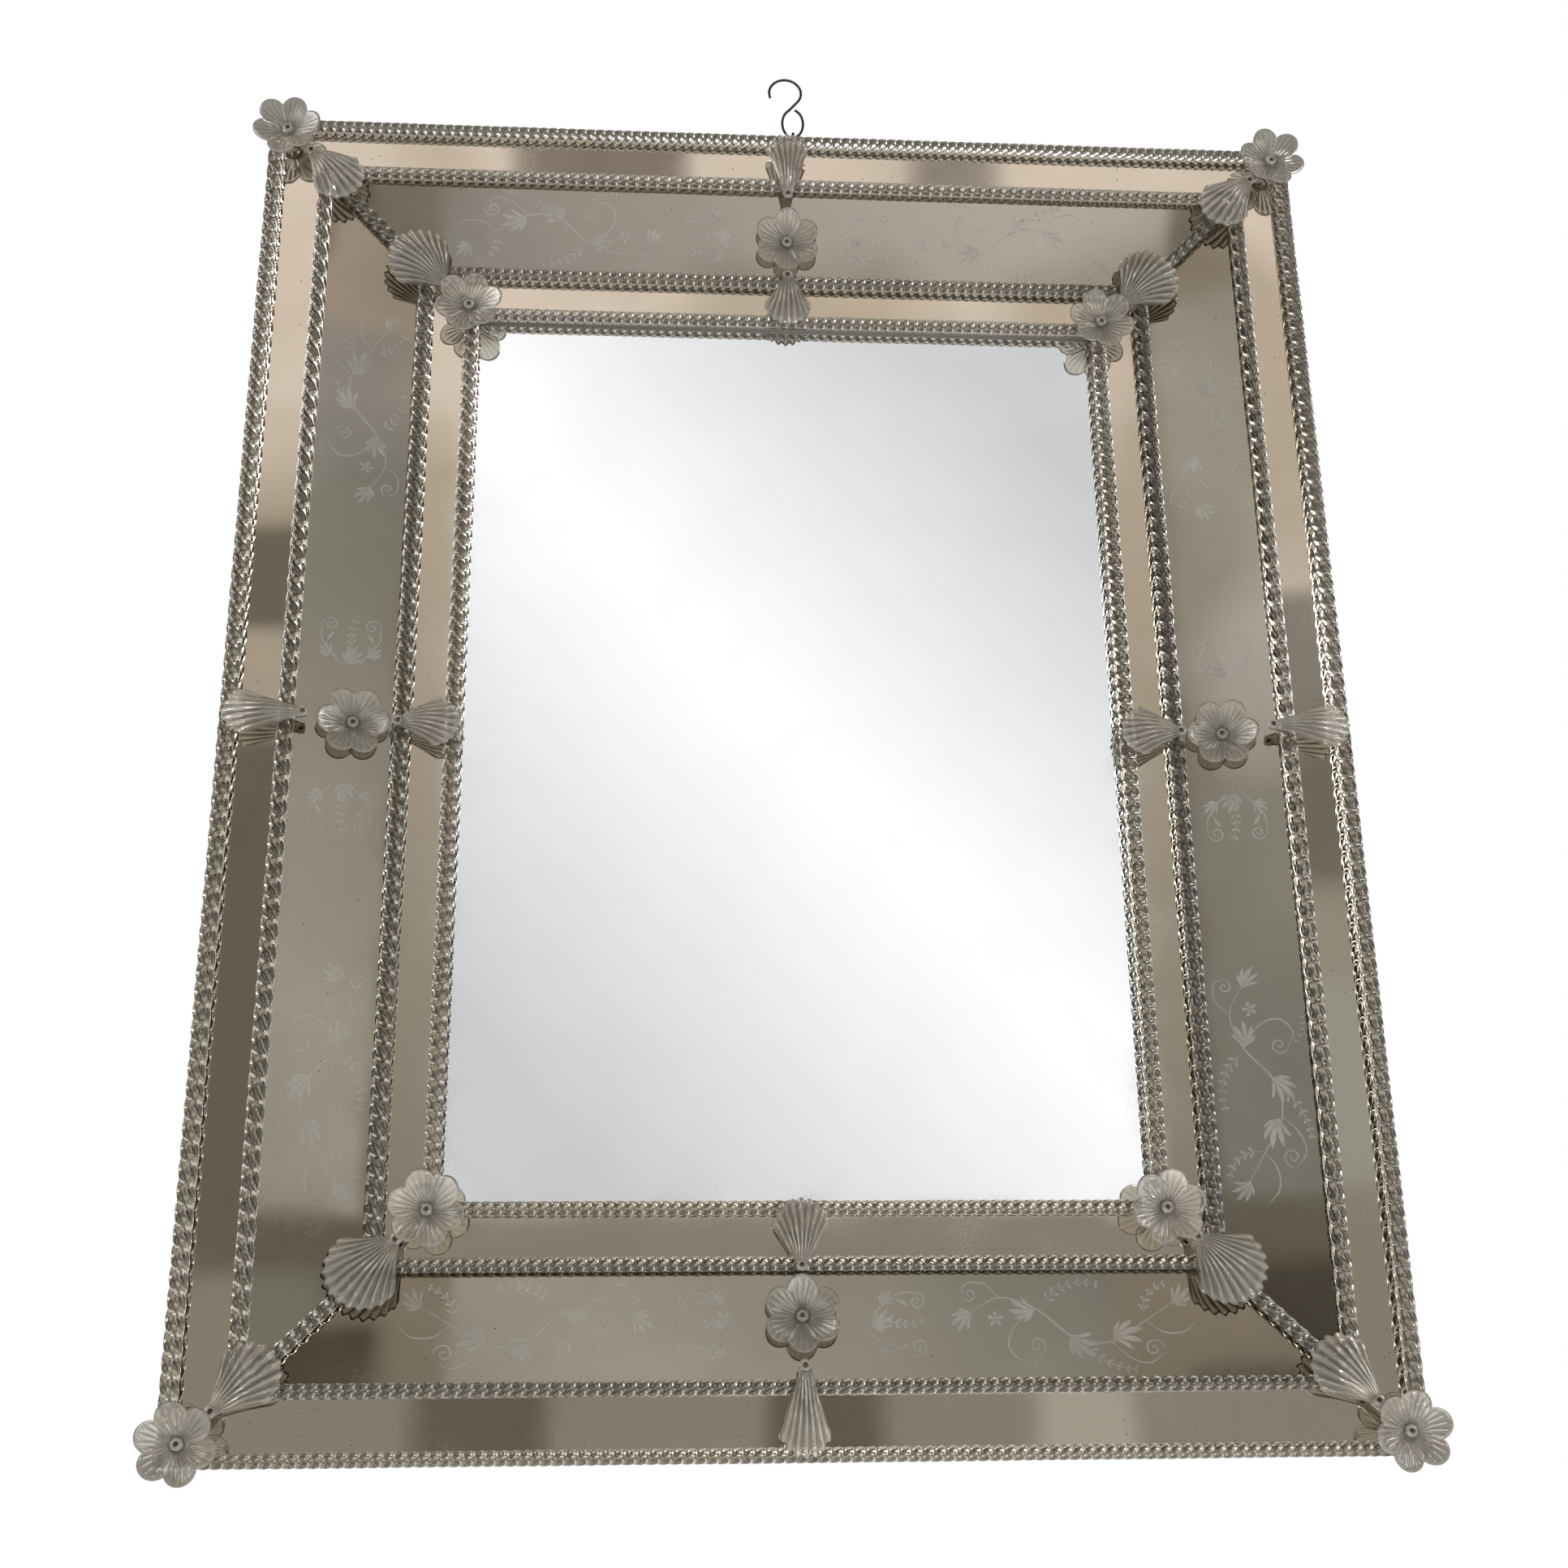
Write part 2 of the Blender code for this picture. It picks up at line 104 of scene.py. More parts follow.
# Painted shade between a petal's flutes, deep in its cup and on the hub
FLUTE_PAINTED_SHADE = 0.20
CUP_PAINTED_SHADE = 0.50
HUB_PAINTED_SHADE = 0.6
RIM_BEAD = 0.0005
HUB_RADIUS = 0.0095
BEAD_SEAT = 0.0036
RING_MAJOR = 0.0035
RING_MINOR = 0.0017
PIN_SHANK = 0.0008
PIN_LENGTH = 0.0035
PIN_DOME = 0.0014
PIN_LIP = 0.0003
PIN_STANDS = 0.0010
OUTER_FLOWER_INSET = 0.020
INNER_FLOWER_INSET = 0.207
MID_FLOWER_INSET = 0.1175

# Leaves: spread is the half angle of the fan, rounding how far its sides fall short of the tip
LEAF_GLASS = 0.0026
LEAF_ARCH = 0.0085
RIB_HEIGHT = 0.0027
RIB_KNOB = 0.0014
EDGE_SCALLOP = 0.045
STEM_WIDTH = 0.009
# Painted shade on a leaf's stem
STEM_PAINTED_SHADE = 0.5
OUTER_LEAF = {"length": 0.074, "spread": 21.5, "rounding": 0.20, "ribs": 7}
INNER_LEAF = {"length": 0.057, "spread": 36.0, "rounding": 0.28, "ribs": 9}
OUTER_CORNER_LEAF = {"length": 0.067, "spread": 38.0, "rounding": 0.34, "ribs": 9}
INNER_CORNER_LEAF = {"length": 0.069, "spread": 48.0, "rounding": 0.36, "ribs": 12}
OUTER_LEAF_BEAD_INSET = 0.077
INNER_LEAF_BEAD_INSET = 0.160
CORNER_BEAD_DISTANCE = 0.035
CORNER_STEM_TAIL = 0.024
MID_STEM_TAIL = 0.003
INNER_CORNER_LIFT = math.radians(5.5)

# Wire hook and screw eye
HOOK_WIRE = 0.0027
HOOK_OFFSET = 0.009
HOOK_FRONT = 0.017
HOOK_RADIUS = 0.0170
HOOK_EYE_HALF_WIDTH = 0.011
HOOK_EYE_HALF_HEIGHT = 0.0175
HOOK_WAIST = 0.0385
HOOK_LEAN = 0.0076
SCREW_WIRE = 0.003
SCREW_EYE_RADIUS = 0.008
SCREW_EYE_STANDOFF = 0.010
SCREW_DEPTH = 0.014
WOOD_INSET = 0.002

# Soft lights, each a square panel: place, edge and power in watts
LIGHTS = {
    "left_soft_light": ((-2.6, -1.8, 1.9), 1.2, 27.0),
    "right_soft_light": ((2.8, -1.6, 1.0), 0.9, 19.0),
    "low_soft_light": ((0.3, -1.5, -1.2), 0.8, 7.0),
    "rear_soft_light": ((0.6, 2.2, 4.2), 1.8, 24.0),
}

# Camera, fitted to the rope lines of the photograph: tilt in degrees, lens and sensor in millimetres
CAMERA_PLACE = (-0.1344, -1.7639, -0.6675)
CAMERA_TILT = (109.41, 0.68, -3.87)
CAMERA_LENS = 45.77
SENSOR = 36.0

# Floor, and what clear glass shows of it
FLOOR_HEIGHT = -1.25
FLOOR_HALF = 20.0
FLOOR_GLOW = 0.85
FLOOR_GLOW_IN_GLASS = 0.40
PLASTER_DULL = (0.86, 0.86, 0.85)
PLASTER_PALE = (0.92, 0.92, 0.91)
FLOOR_IN_GLASS = (0.48, 0.45, 0.40)

# The room that the plates mirror: its window and flats lie between the left, right, low and high
# slopes of the mirrored direction
WINDOW_MIDDLE = (0.076, 0.38)
WINDOW = (-0.1045, 0.2585, 0.129, 0.634)
WINDOW_EDGE = 0.004
FLAT_EDGE = 0.006
WINDOW_BRIGHT = (1.12, 1.12, 1.12)
WINDOW_DULL = (0.66, 0.67, 0.68)
WALL_LOW = (0.40, 0.385, 0.35)
WALL_HIGH = (0.84, 0.75, 0.67)
WALL_FAR_ASIDE = (0.13, 0.118, 0.10)
WALL_BEHIND = (0.24, 0.22, 0.185)
FLATS = (
    ((-0.085, 0.020, 0.675, 0.95), (0.27, 0.24, 0.205)),
    ((0.150, 0.205, 0.675, 0.95), (0.33, 0.305, 0.27)),
    ((-0.400, -0.140, 0.44, 0.50), (0.25, 0.225, 0.19)),
    ((-0.400, -0.140, 0.10, 0.375), (0.22, 0.205, 0.175)),
    ((0.295, 0.500, 0.30, 0.47), (0.27, 0.26, 0.235)),
    ((0.295, 0.500, 0.14, 0.25), (0.52, 0.54, 0.53)),
    ((-0.110, -0.045, -0.10, 0.10), (0.20, 0.185, 0.16)),
    ((0.060, 0.115, -0.10, 0.10), (0.20, 0.185, 0.16)),
    ((0.190, 0.240, -0.10, 0.10), (0.62, 0.63, 0.58)),
)

# The plainer room that clear glass shows
GLASS_WINDOW = (0.60, 0.57, 0.51)
GLASS_ROUND_WINDOW = (0.020, 0.017, 0.013)
GLASS_SIDE_LOW = (2.80, 2.78, 2.70)
GLASS_SIDE_HIGH = (0.40, 0.36, 0.30)
GLASS_BEHIND = (0.14, 0.125, 0.10)

SIDES = {
    "bottom": ((0, 0, 1), HEIGHT / 2, WIDTH / 2),
    "right": ((-1, 0, 0), WIDTH / 2, HEIGHT / 2),
    "top": ((0, 0, -1), HEIGHT / 2, WIDTH / 2),
    "left": ((1, 0, 0), WIDTH / 2, HEIGHT / 2),
}
CORNERS = {
    "bottom_left": (-1, -1),
    "bottom_right": (1, -1),
    "top_right": (1, 1),
    "top_left": (-1, 1),
}


# Frames and placing

def frame_matrix(origin, inward):
    """4 by 4 matrix with local Y inward, local Z forward out of the front, and local X across."""
    forward = np.array((0.0, -1.0, 0.0))
    matrix = np.eye(4)
    matrix[:3, 0] = np.cross(inward, forward)
    matrix[:3, 1] = inward
    matrix[:3, 2] = forward
    matrix[:3, 3] = origin
    return matrix


def side_matrix(side):
    inward, distance, _ = SIDES[side]
    inward = np.array(inward, float)
    return frame_matrix(-inward * distance, inward)


def corner_matrix(corner):
    sign_x, sign_z = CORNERS[corner]
    inward = np.array((-sign_x, 0.0, -sign_z)) / math.sqrt(2)
    return frame_matrix((sign_x * WIDTH / 2, 0, sign_z * HEIGHT / 2), inward)


def shift(x, y, z):
    return np.array(Matrix.Translation((x, y, z)))


def turn(angle, axis):
    return np.array(Matrix.Rotation(angle, 4, axis))


def diagonal(inset):
    """Distance from the corner along the diagonal at which both insets have this value."""
    return inset * math.sqrt(2)


def slope_front(inset):
    """Front of the sloping wood under the engraved band at an inset."""
    return RAIL_OUTER_FRONT - SLOPE * (inset - RIDGE_INSET)


def rope_radius(side):
    return UPRIGHT_ROPE_RADIUS if side in ("left", "right") else LEVEL_ROPE_RADIUS


def over_rope(base, radius):
    """Front at which an ornament clears a rope of this radius that lies on the base."""
    return base + 2 * radius + GAP


def placed(shells, matrix):
    """The same shells with every point carried into the frame that the matrix gives."""
    return [(points @ matrix[:3, :3].T + matrix[:3, 3], triangles) for points, triangles in shells]


# Closed shells from grids of points

def outward(points, triangles):
    """Turns every triangle round if the enclosed volume, summed as tetrahedra, is negative."""
    a, b, c = (points[triangles[:, k]] for k in range(3))
    volume = np.einsum("ij,ij->i", a, np.cross(b, c)).sum()
    return (points, triangles if volume > 0 else triangles[:, ::-1])


def grid_triangles(rows, columns, wrap_rows=False, wrap_columns=False):
    """Two triangles to each cell of a grid of point numbers, with either direction closed."""
    numbers = np.arange(rows * columns).reshape(rows, columns)
    if wrap_rows:
        numbers = np.concatenate([numbers, numbers[:1]], axis=0)
    if wrap_columns:
        numbers = np.concatenate([numbers, numbers[:, :1]], axis=1)
    a, b = numbers[:-1, :-1].ravel(), numbers[:-1, 1:].ravel()
    c, d = numbers[1:, 1:].ravel(), numbers[1:, :-1].ravel()
    return np.concatenate([np.stack([a, b, c], axis=1), np.stack([a, c, d], axis=1)])


def tube_shell(rings):
    """Closed tube through rings of equal point count, each end closed by a pole at its middle."""
    rows, columns = rings.shape[:2]
    poles = np.stack([rings[0].mean(axis=0), rings[-1].mean(axis=0)])
    points = np.concatenate([rings.reshape(-1, 3), poles])
    first = np.arange(columns)
    last = first + (rows - 1) * columns
    top = rows * columns
    start_fan = np.stack([np.roll(first, -1), first, np.full(columns, top)], axis=1)
    end_fan = np.stack([last, np.roll(last, -1), np.full(columns, top + 1)], axis=1)
    body = grid_triangles(rows, columns, wrap_columns=True)
    return outward(points, np.concatenate([body, start_fan, end_fan]))


def plate_shell(upper, lower):
    """Closed plate between two grids of the same shape, stitched together round their border."""
    rows, columns = upper.shape[:2]
    count = rows * columns
    numbers = np.arange(count).reshape(rows, columns)
    border = np.concatenate([numbers[0, :-1], numbers[:-1, -1], numbers[-1, :0:-1], numbers[:0:-1, 0]])
    following = np.roll(border, -1)
    face = grid_triangles(rows, columns)
    rim = np.concatenate([
        np.stack([following, border, border + count], axis=1),
        np.stack([following, border + count, following + count], axis=1),
    ])
    points = np.concatenate([upper.reshape(-1, 3), lower.reshape(-1, 3)])
    return outward(points, np.concatenate([face, face[:, ::-1] + count, rim]))


def ring_shell(major, minor, height, around=24, section=12):
    """Torus about local Z: a circle of the minor radius carried round the major one."""
    a = np.linspace(0, 2 * math.pi, around, endpoint=False)[:, None]
    b = np.linspace(0, 2 * math.pi, section, endpoint=False)[None, :]
    reach = major + minor * np.cos(b)
    grid = np.stack([reach * np.sin(a), reach * np.cos(a), height + minor * np.sin(b) + 0 * a], axis=2)
    triangles = grid_triangles(around, section, wrap_rows=True, wrap_columns=True)
    return outward(grid.reshape(-1, 3), triangles)


def turned_shell(profile, around=20):
    """Profile of (radius, height) points turned about local Z, closed at both ends."""
    profile = np.array(profile)
    angle = np.linspace(0, 2 * math.pi, around, endpoint=False)[None, :]
    radius, height = profile[:, :1], profile[:, 1:]
    rings = np.stack([radius * np.cos(angle), radius * np.sin(angle), height + 0 * angle], axis=2)
    return tube_shell(rings)


def make_piece(name, shells, material, replaced=(), sharp_angle=None, groove=None):
    """One mesh object of the shells, at the origin, riding on the body and standing for CAD nodes.

    The groove, where given, is the painted shade from 0 to 1 at each point, kept as an attribute.
    """
    counts = np.cumsum([0] + [len(points) for points, _ in shells])
    points = np.concatenate([points for points, _ in shells])
    triangles = np.concatenate([shell[1] + start for shell, start in zip(shells, counts)])
    mesh = bpy.data.meshes.new(name)
    mesh.from_pydata(points, [], triangles)
    mesh.shade_smooth()
    if sharp_angle:
        mesh.set_sharp_from_angle(angle=math.radians(sharp_angle))
    if groove is not None:
        layer = mesh.attributes.new("groove", "FLOAT", "POINT")
        layer.data.foreach_set("value", groove.astype(np.float32))
    mesh.materials.append(material)
    piece = bpy.data.objects.new(name, mesh)
    bpy.context.scene.collection.objects.link(piece)
    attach(piece, "root")
    if replaced:
        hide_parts(*replaced)


# Shader nodes

def add_node(tree, kind, inputs=None, **settings):
    """New node with its settings, and its inputs set to a value or linked to an output."""
    node = tree.nodes.new(kind)
    for key, value in settings.items():
        setattr(node, key, value)
    for key, value in (inputs or {}).items():
        if isinstance(value, bpy.types.NodeSocket):
            tree.links.new(value, node.inputs[key])
        else:
            node.inputs[key].default_value = value
    return node


def new_group(name, inputs, outputs):
    """Empty shader group with named inputs (kind, default) and outputs, and its two end nodes."""
    tree = bpy.data.node_groups.new(name, "ShaderNodeTree")
    for key, (kind, default) in inputs.items():
        socket = tree.interface.new_socket(key, in_out="INPUT", socket_type=kind)
        if default is not None:
            socket.default_value = default
    for key, kind in outputs.items():
        tree.interface.new_socket(key, in_out="OUTPUT", socket_type=kind)
    return tree, tree.nodes.new("NodeGroupInput"), tree.nodes.new("NodeGroupOutput")


def ramp(tree, value, start, end, low=0.0, high=1.0):
    """Straight ramp of a value between two limits, held at both ends."""
    node = add_node(tree, "ShaderNodeMapRange", {
        "Value": value, "From Min": start, "From Max": end, "To Min": low, "To Max": high})
    return node.outputs["Result"]


def math_node(tree, operation, first, second=0.0):
    node = add_node(tree, "ShaderNodeMath", {0: first, 1: second}, operation=operation)
    return node.outputs[0]


def total(tree, first, second):
    return math_node(tree, "ADD", first, second)


def product(tree, first, second):
    return math_node(tree, "MULTIPLY", first, second)


def mix_color(tree, factor, first, second):
    node = add_node(tree, "ShaderNodeMix", {"Factor": factor}, data_type="RGBA")
    for index, value in ((6, first), (7, second)):
        if isinstance(value, bpy.types.NodeSocket):
            tree.links.new(value, node.inputs[index])
        else:
            node.inputs[index].default_value = (*value, 1)
    return node.outputs[2]


def noise(tree, vector, scale, detail=3.0, roughness=0.5):
    node = add_node(tree, "ShaderNodeTexNoise", {
        "Vector": vector, "Scale": scale, "Detail": detail, "Roughness": roughness})
    return node.outputs["Fac"]


def foxing_group():
    """Age spots in silvering: small dots kept where a broad noise is high, and fine specks."""
    tree, given, out = new_group(
        "foxing",
        {"Vector": ("NodeSocketVector", None), "Amount": ("NodeSocketFloat", 0.5)},
        {"Spots": "NodeSocketFloat", "Haze": "NodeSocketFloat"},
    )
    vector = given.outputs["Vector"]
    dots = add_node(tree, "ShaderNodeTexVoronoi", {"Vector": vector, "Scale": 60.0})
    rough_edge = noise(tree, vector, 420.0)
    distance = total(tree, dots.outputs["Distance"], product(tree, rough_edge, 0.12))
    dot = ramp(tree, distance, 0.20, 0.15)
    broad = noise(tree, vector, 5.0, 2.0)
    threshold = math_node(tree, "SUBTRACT", 0.86, product(tree, given.outputs["Amount"], 0.3))
    cluster = math_node(tree, "GREATER_THAN", broad, threshold)
    chosen = add_node(tree, "ShaderNodeSeparateColor", {0: dots.outputs["Color"]})
    some = math_node(tree, "GREATER_THAN", chosen.outputs[0], 0.55)
    spots = product(tree, product(tree, dot, cluster), some)
    specks = add_node(tree, "ShaderNodeTexVoronoi", {"Vector": vector, "Scale": 210.0})
    speck = ramp(tree, specks.outputs["Distance"], 0.17, 0.10)
    rare = add_node(tree, "ShaderNodeSeparateColor", {0: specks.outputs["Color"]})
    rarity = math_node(tree, "SUBTRACT", 1.0, product(tree, given.outputs["Amount"], 0.05))
    few = math_node(tree, "GREATER_THAN", rare.outputs[1], rarity)
    speck = product(tree, speck, few)
    tree.links.new(math_node(tree, "MAXIMUM", spots, speck), out.inputs["Spots"])
    tree.links.new(ramp(tree, noise(tree, vector, 9.0, 4.0), 0.35, 0.75), out.inputs["Haze"])
    return tree


def dust_group():
    """Thin dust: soft patches broken up by a fine noise."""
    tree, given, out = new_group(
        "dust",
        {"Vector": ("NodeSocketVector", None), "Amount": ("NodeSocketFloat", 0.5)},
        {"Mask": "NodeSocketFloat"},
    )
    vector = given.outputs["Vector"]
    broad = ramp(tree, noise(tree, vector, 16.0, 3.0), 0.40, 0.72)
    fine = ramp(tree, noise(tree, vector, 700.0, 2.0), 0.35, 0.7)
    mask = product(tree, product(tree, broad, fine), given.outputs["Amount"])
    tree.links.new(mask, out.inputs["Mask"])
    return tree


def grain_group():
    """Wood grain along X: a figure of noise stretched along it, and pores from a finer one."""
    tree, given, out = new_group(
        "grain",
        {"Vector": ("NodeSocketVector", None), "Scale": ("NodeSocketFloat", 1.0)},
        {"Figure": "NodeSocketFloat", "Pores": "NodeSocketFloat"},
    )
    stretch = add_node(tree, "ShaderNodeMapping", {
        "Vector": given.outputs["Vector"], "Scale": (2.2, 60.0, 60.0)})
    scaled = add_node(tree, "ShaderNodeVectorMath", {
        0: stretch.outputs[0], "Scale": given.outputs["Scale"]}, operation="SCALE")
    figure = noise(tree, scaled.outputs[0], 1.0, 5.0, 0.6)
    pores = noise(tree, scaled.outputs[0], 9.0, 2.0, 0.5)
    tree.links.new(figure, out.inputs["Figure"])
    tree.links.new(ramp(tree, pores, 0.62, 0.70), out.inputs["Pores"])
    return tree


FOXING = foxing_group()
DUST = dust_group()
GRAIN = grain_group()


# Colours of the finishes, as linear red, green and blue

SILVER_HAZE = (0.50, 0.45, 0.36)
AGE_SPOT = (0.035, 0.026, 0.018)
# Painted shade: the plates' cut edges are dark, for the shadow line along them
CUT_EDGE_PAINTED_SHADE = (0.060, 0.050, 0.038)
BACK_PAINT = (0.17, 0.13, 0.10)
# Painted shade in the grooves of the ropes, and in the flutes, cups, hubs, ribs and stems of the pressed
# glass
ROPE_PAINTED_SHADE = (0.15, 0.135, 0.11)
PRESSED_PAINTED_SHADE = (0.30, 0.275, 0.23)
FROST_DULL = (0.48, 0.46, 0.42)
FROST_PALE = (0.66, 0.65, 0.61)
FROST_COVER = 0.25
STAIN_DARK = (0.060, 0.034, 0.018)
STAIN_LIGHT = (0.165, 0.098, 0.052)
WOOD_PORE = (0.022, 0.013, 0.008)
WOOD_DUST = (0.30, 0.26, 0.21)
IRON_SKIN = (0.050, 0.046, 0.043)
RUST = (0.135, 0.062, 0.030)


def new_material(name):
    material = bpy.data.materials.new(name)
    material.use_nodes = True
    tree = material.node_tree
    place = add_node(tree, "ShaderNodeTexCoord")
    return material, tree, tree.nodes["Principled BSDF"], place.outputs["Object"]


def use_group(tree, group, inputs):
    return add_node(tree, "ShaderNodeGroup", inputs, node_tree=group).outputs


def roughen(tree, shader, height, strength, distance):
    """Bump of this height, strength and distance on the shader's normal."""
    bump = add_node(tree, "ShaderNodeBump", {
        "Height": height, "Strength": strength, "Distance": distance})
    tree.links.new(bump.outputs[0], shader.inputs["Normal"])


def silvered_glass(name, clean, aged, foxing, haze_strength):
    """Silvered plate: mirror on the front face, cut edges dark with painted shade and a painted back.

    The silver's colour goes from clean to aged by soft patches, and is darker towards the bottom,
    and brown spots eat through it.
    """
    material, tree, shader, place = new_material(name)
    age = use_group(tree, FOXING, {"Vector": place, "Amount": foxing})
    parts = add_node(tree, "ShaderNodeSeparateXYZ", {0: place})
    # The silver turns darker towards the bottom
    height = product(tree, parts.outputs[2], 0.5)
    patches = ramp(tree, total(tree, noise(tree, place, 3.4, 2.0, 0.4), height), 0.76, 0.62)
    silver = mix_color(tree, patches, clean, aged)
    haze = product(tree, age["Haze"], haze_strength)
    silver = mix_color(tree, haze, silver, SILVER_HAZE)
    silver = mix_color(tree, age["Spots"], silver, AGE_SPOT)
    geometry = add_node(tree, "ShaderNodeNewGeometry")
    facing = add_node(tree, "ShaderNodeVectorMath", {0: geometry.outputs["Normal"], 1: (0, -1, 0)},
                      operation="DOT_PRODUCT")
    front = math_node(tree, "GREATER_THAN", facing.outputs["Value"], 0.9)
    rear = math_node(tree, "LESS_THAN", facing.outputs["Value"], -0.9)
    # Painted shade on the cut edges; the back keeps its brown paint
    sides = mix_color(tree, rear, CUT_EDGE_PAINTED_SHADE, BACK_PAINT)
    tree.links.new(mix_color(tree, front, sides, silver), shader.inputs["Base Color"])
    bare = math_node(tree, "SUBTRACT", 1.0, product(tree, age["Spots"], 0.8))
    tree.links.new(product(tree, front, bare), shader.inputs["Metallic"])
    dust = use_group(tree, DUST, {"Vector": place, "Amount": 0.10})
    gloss = total(tree, ramp(tree, haze, 0.0, 1.0, 0.025, 0.10), dust["Mask"])
    gloss = total(tree, gloss, product(tree, age["Spots"], 0.4))
    rough_side = ramp(tree, front, 0.0, 1.0, 0.30, 0.0)
    tree.links.new(total(tree, gloss, rough_side), shader.inputs["Roughness"])
    roughen(tree, shader, noise(tree, place, 7.0, 1.0), 0.03, 0.01)
    return material


def clear_glass(name, tint, streak, painted_shade, roughness, ripple, clearness):
    """Clear old glass: faint colour streaks, dust, painted shade in the grooves and an uneven surface.
    """
    material, tree, shader, place = new_material(name)
    cords = noise(tree, place, 55.0, 3.0)
    color = mix_color(tree, ramp(tree, cords, 0.35, 0.7), tint, streak)
    groove = add_node(tree, "ShaderNodeAttribute", attribute_name="groove").outputs["Fac"]
    # Painted shade in the grooves, patchy along them; the same mask roughens them as dirt does
    patchy = ramp(tree, noise(tree, place, 90.0, 2.0), 0.25, 0.65, 0.55, 1.0)
    groove_shade_and_dirt = product(tree, groove, patchy)
    color = mix_color(tree, groove_shade_and_dirt, color, painted_shade)
    tree.links.new(color, shader.inputs["Base Color"])
    dust = use_group(tree, DUST, {"Vector": place, "Amount": 0.07})
    gloss = total(tree, roughness, dust["Mask"])
    gloss = total(tree, gloss, product(tree, groove_shade_and_dirt, 0.25))
    tree.links.new(gloss, shader.inputs["Roughness"])
    shader.inputs["IOR"].default_value = 1.5
    shader.inputs["Transmission Weight"].default_value = clearness
    roughen(tree, shader, noise(tree, place, 120.0, 2.0), ripple, 0.0008)
    return material


def frosted_engraving():
    """Ground glass of the engraved lines: grey-white, matt and mostly see-through, with a tooth."""
    material, tree, shader, place = new_material("frosted_engraving")
    tooth = noise(tree, place, 900.0, 2.0)
    soft = noise(tree, place, 40.0, 2.0)
    color = mix_color(tree, ramp(tree, soft, 0.3, 0.7), FROST_DULL, FROST_PALE)
    tree.links.new(color, shader.inputs["Base Color"])
    tree.links.new(ramp(tree, tooth, 0.2, 0.8, 0.45, 0.7), shader.inputs["Roughness"])
    shader.inputs["Alpha"].default_value = FROST_COVER
    roughen(tree, shader, tooth, 0.4, 0.0003)
    return material


def stained_wood(name, along):
    """Dark stained softwood: grain along the rail, dust in patches, and a bump from the grain."""
    material, tree, shader, place = new_material(name)
    angle = 0.0 if along == "x" else math.pi / 2
    lined = add_node(tree, "ShaderNodeMapping", {"Vector": place, "Rotation": (0.0, angle, 0.0)})
    figure = use_group(tree, GRAIN, {"Vector": lined.outputs[0], "Scale": 1.0})
    color = mix_color(tree, ramp(tree, figure["Figure"], 0.3, 0.7), STAIN_DARK, STAIN_LIGHT)
    color = mix_color(tree, product(tree, figure["Pores"], 0.7), color, WOOD_PORE)
    dust = use_group(tree, DUST, {"Vector": place, "Amount": 0.5})
    color = mix_color(tree, dust["Mask"], color, WOOD_DUST)
    tree.links.new(color, shader.inputs["Base Color"])
    tree.links.new(ramp(tree, figure["Figure"], 0.2, 0.8, 0.55, 0.8), shader.inputs["Roughness"])
    height = math_node(tree, "SUBTRACT", figure["Figure"], figure["Pores"])
    roughen(tree, shader, height, 0.5, 0.0006)
    return material


def dark_iron():
    """Drawn iron wire gone dark, with rust in soft patches and a pitted skin."""
    material, tree, shader, place = new_material("dark_iron")
    patches = ramp(tree, noise(tree, place, 170.0, 4.0, 0.6), 0.48, 0.66)
    color = mix_color(tree, patches, IRON_SKIN, RUST)
    tree.links.new(color, shader.inputs["Base Color"])
    tree.links.new(ramp(tree, patches, 0.0, 1.0, 0.9, 0.25), shader.inputs["Metallic"])
    tree.links.new(ramp(tree, patches, 0.0, 1.0, 0.38, 0.78), shader.inputs["Roughness"])
    roughen(tree, shader, noise(tree, place, 900.0, 3.0), 0.5, 0.0003)
    return material


CENTER_SILVER = silvered_glass("center_silver", (0.93, 0.935, 0.935), (0.90, 0.905, 0.905), 0.0, 0.05)
STRIP_SILVER = silvered_glass("strip_silver", (0.80, 0.745, 0.68), (0.57, 0.525, 0.44), 0.20, 0.25)
BAND_SILVER = silvered_glass("band_silver", (0.38, 0.34, 0.285), (0.262, 0.24, 0.19), 0.24, 0.12)
ROPE_GLASS = clear_glass("rope_glass", (0.96, 0.95, 0.92), (0.88, 0.865, 0.82), ROPE_PAINTED_SHADE,
                         roughness=0.012, ripple=0.0, clearness=0.985)
PRESSED_GLASS = clear_glass("pressed_glass", (1.0, 0.98, 0.93), (0.96, 0.935, 0.88), PRESSED_PAINTED_SHADE,
                            roughness=0.014, ripple=0.012, clearness=0.88)
FROSTED = frosted_engraving()
WOOD_LEVEL = stained_wood("stained_wood_level", "x")
WOOD_UPRIGHT = stained_wood("stained_wood_upright", "z")
IRON = dark_iron()


# Ropes

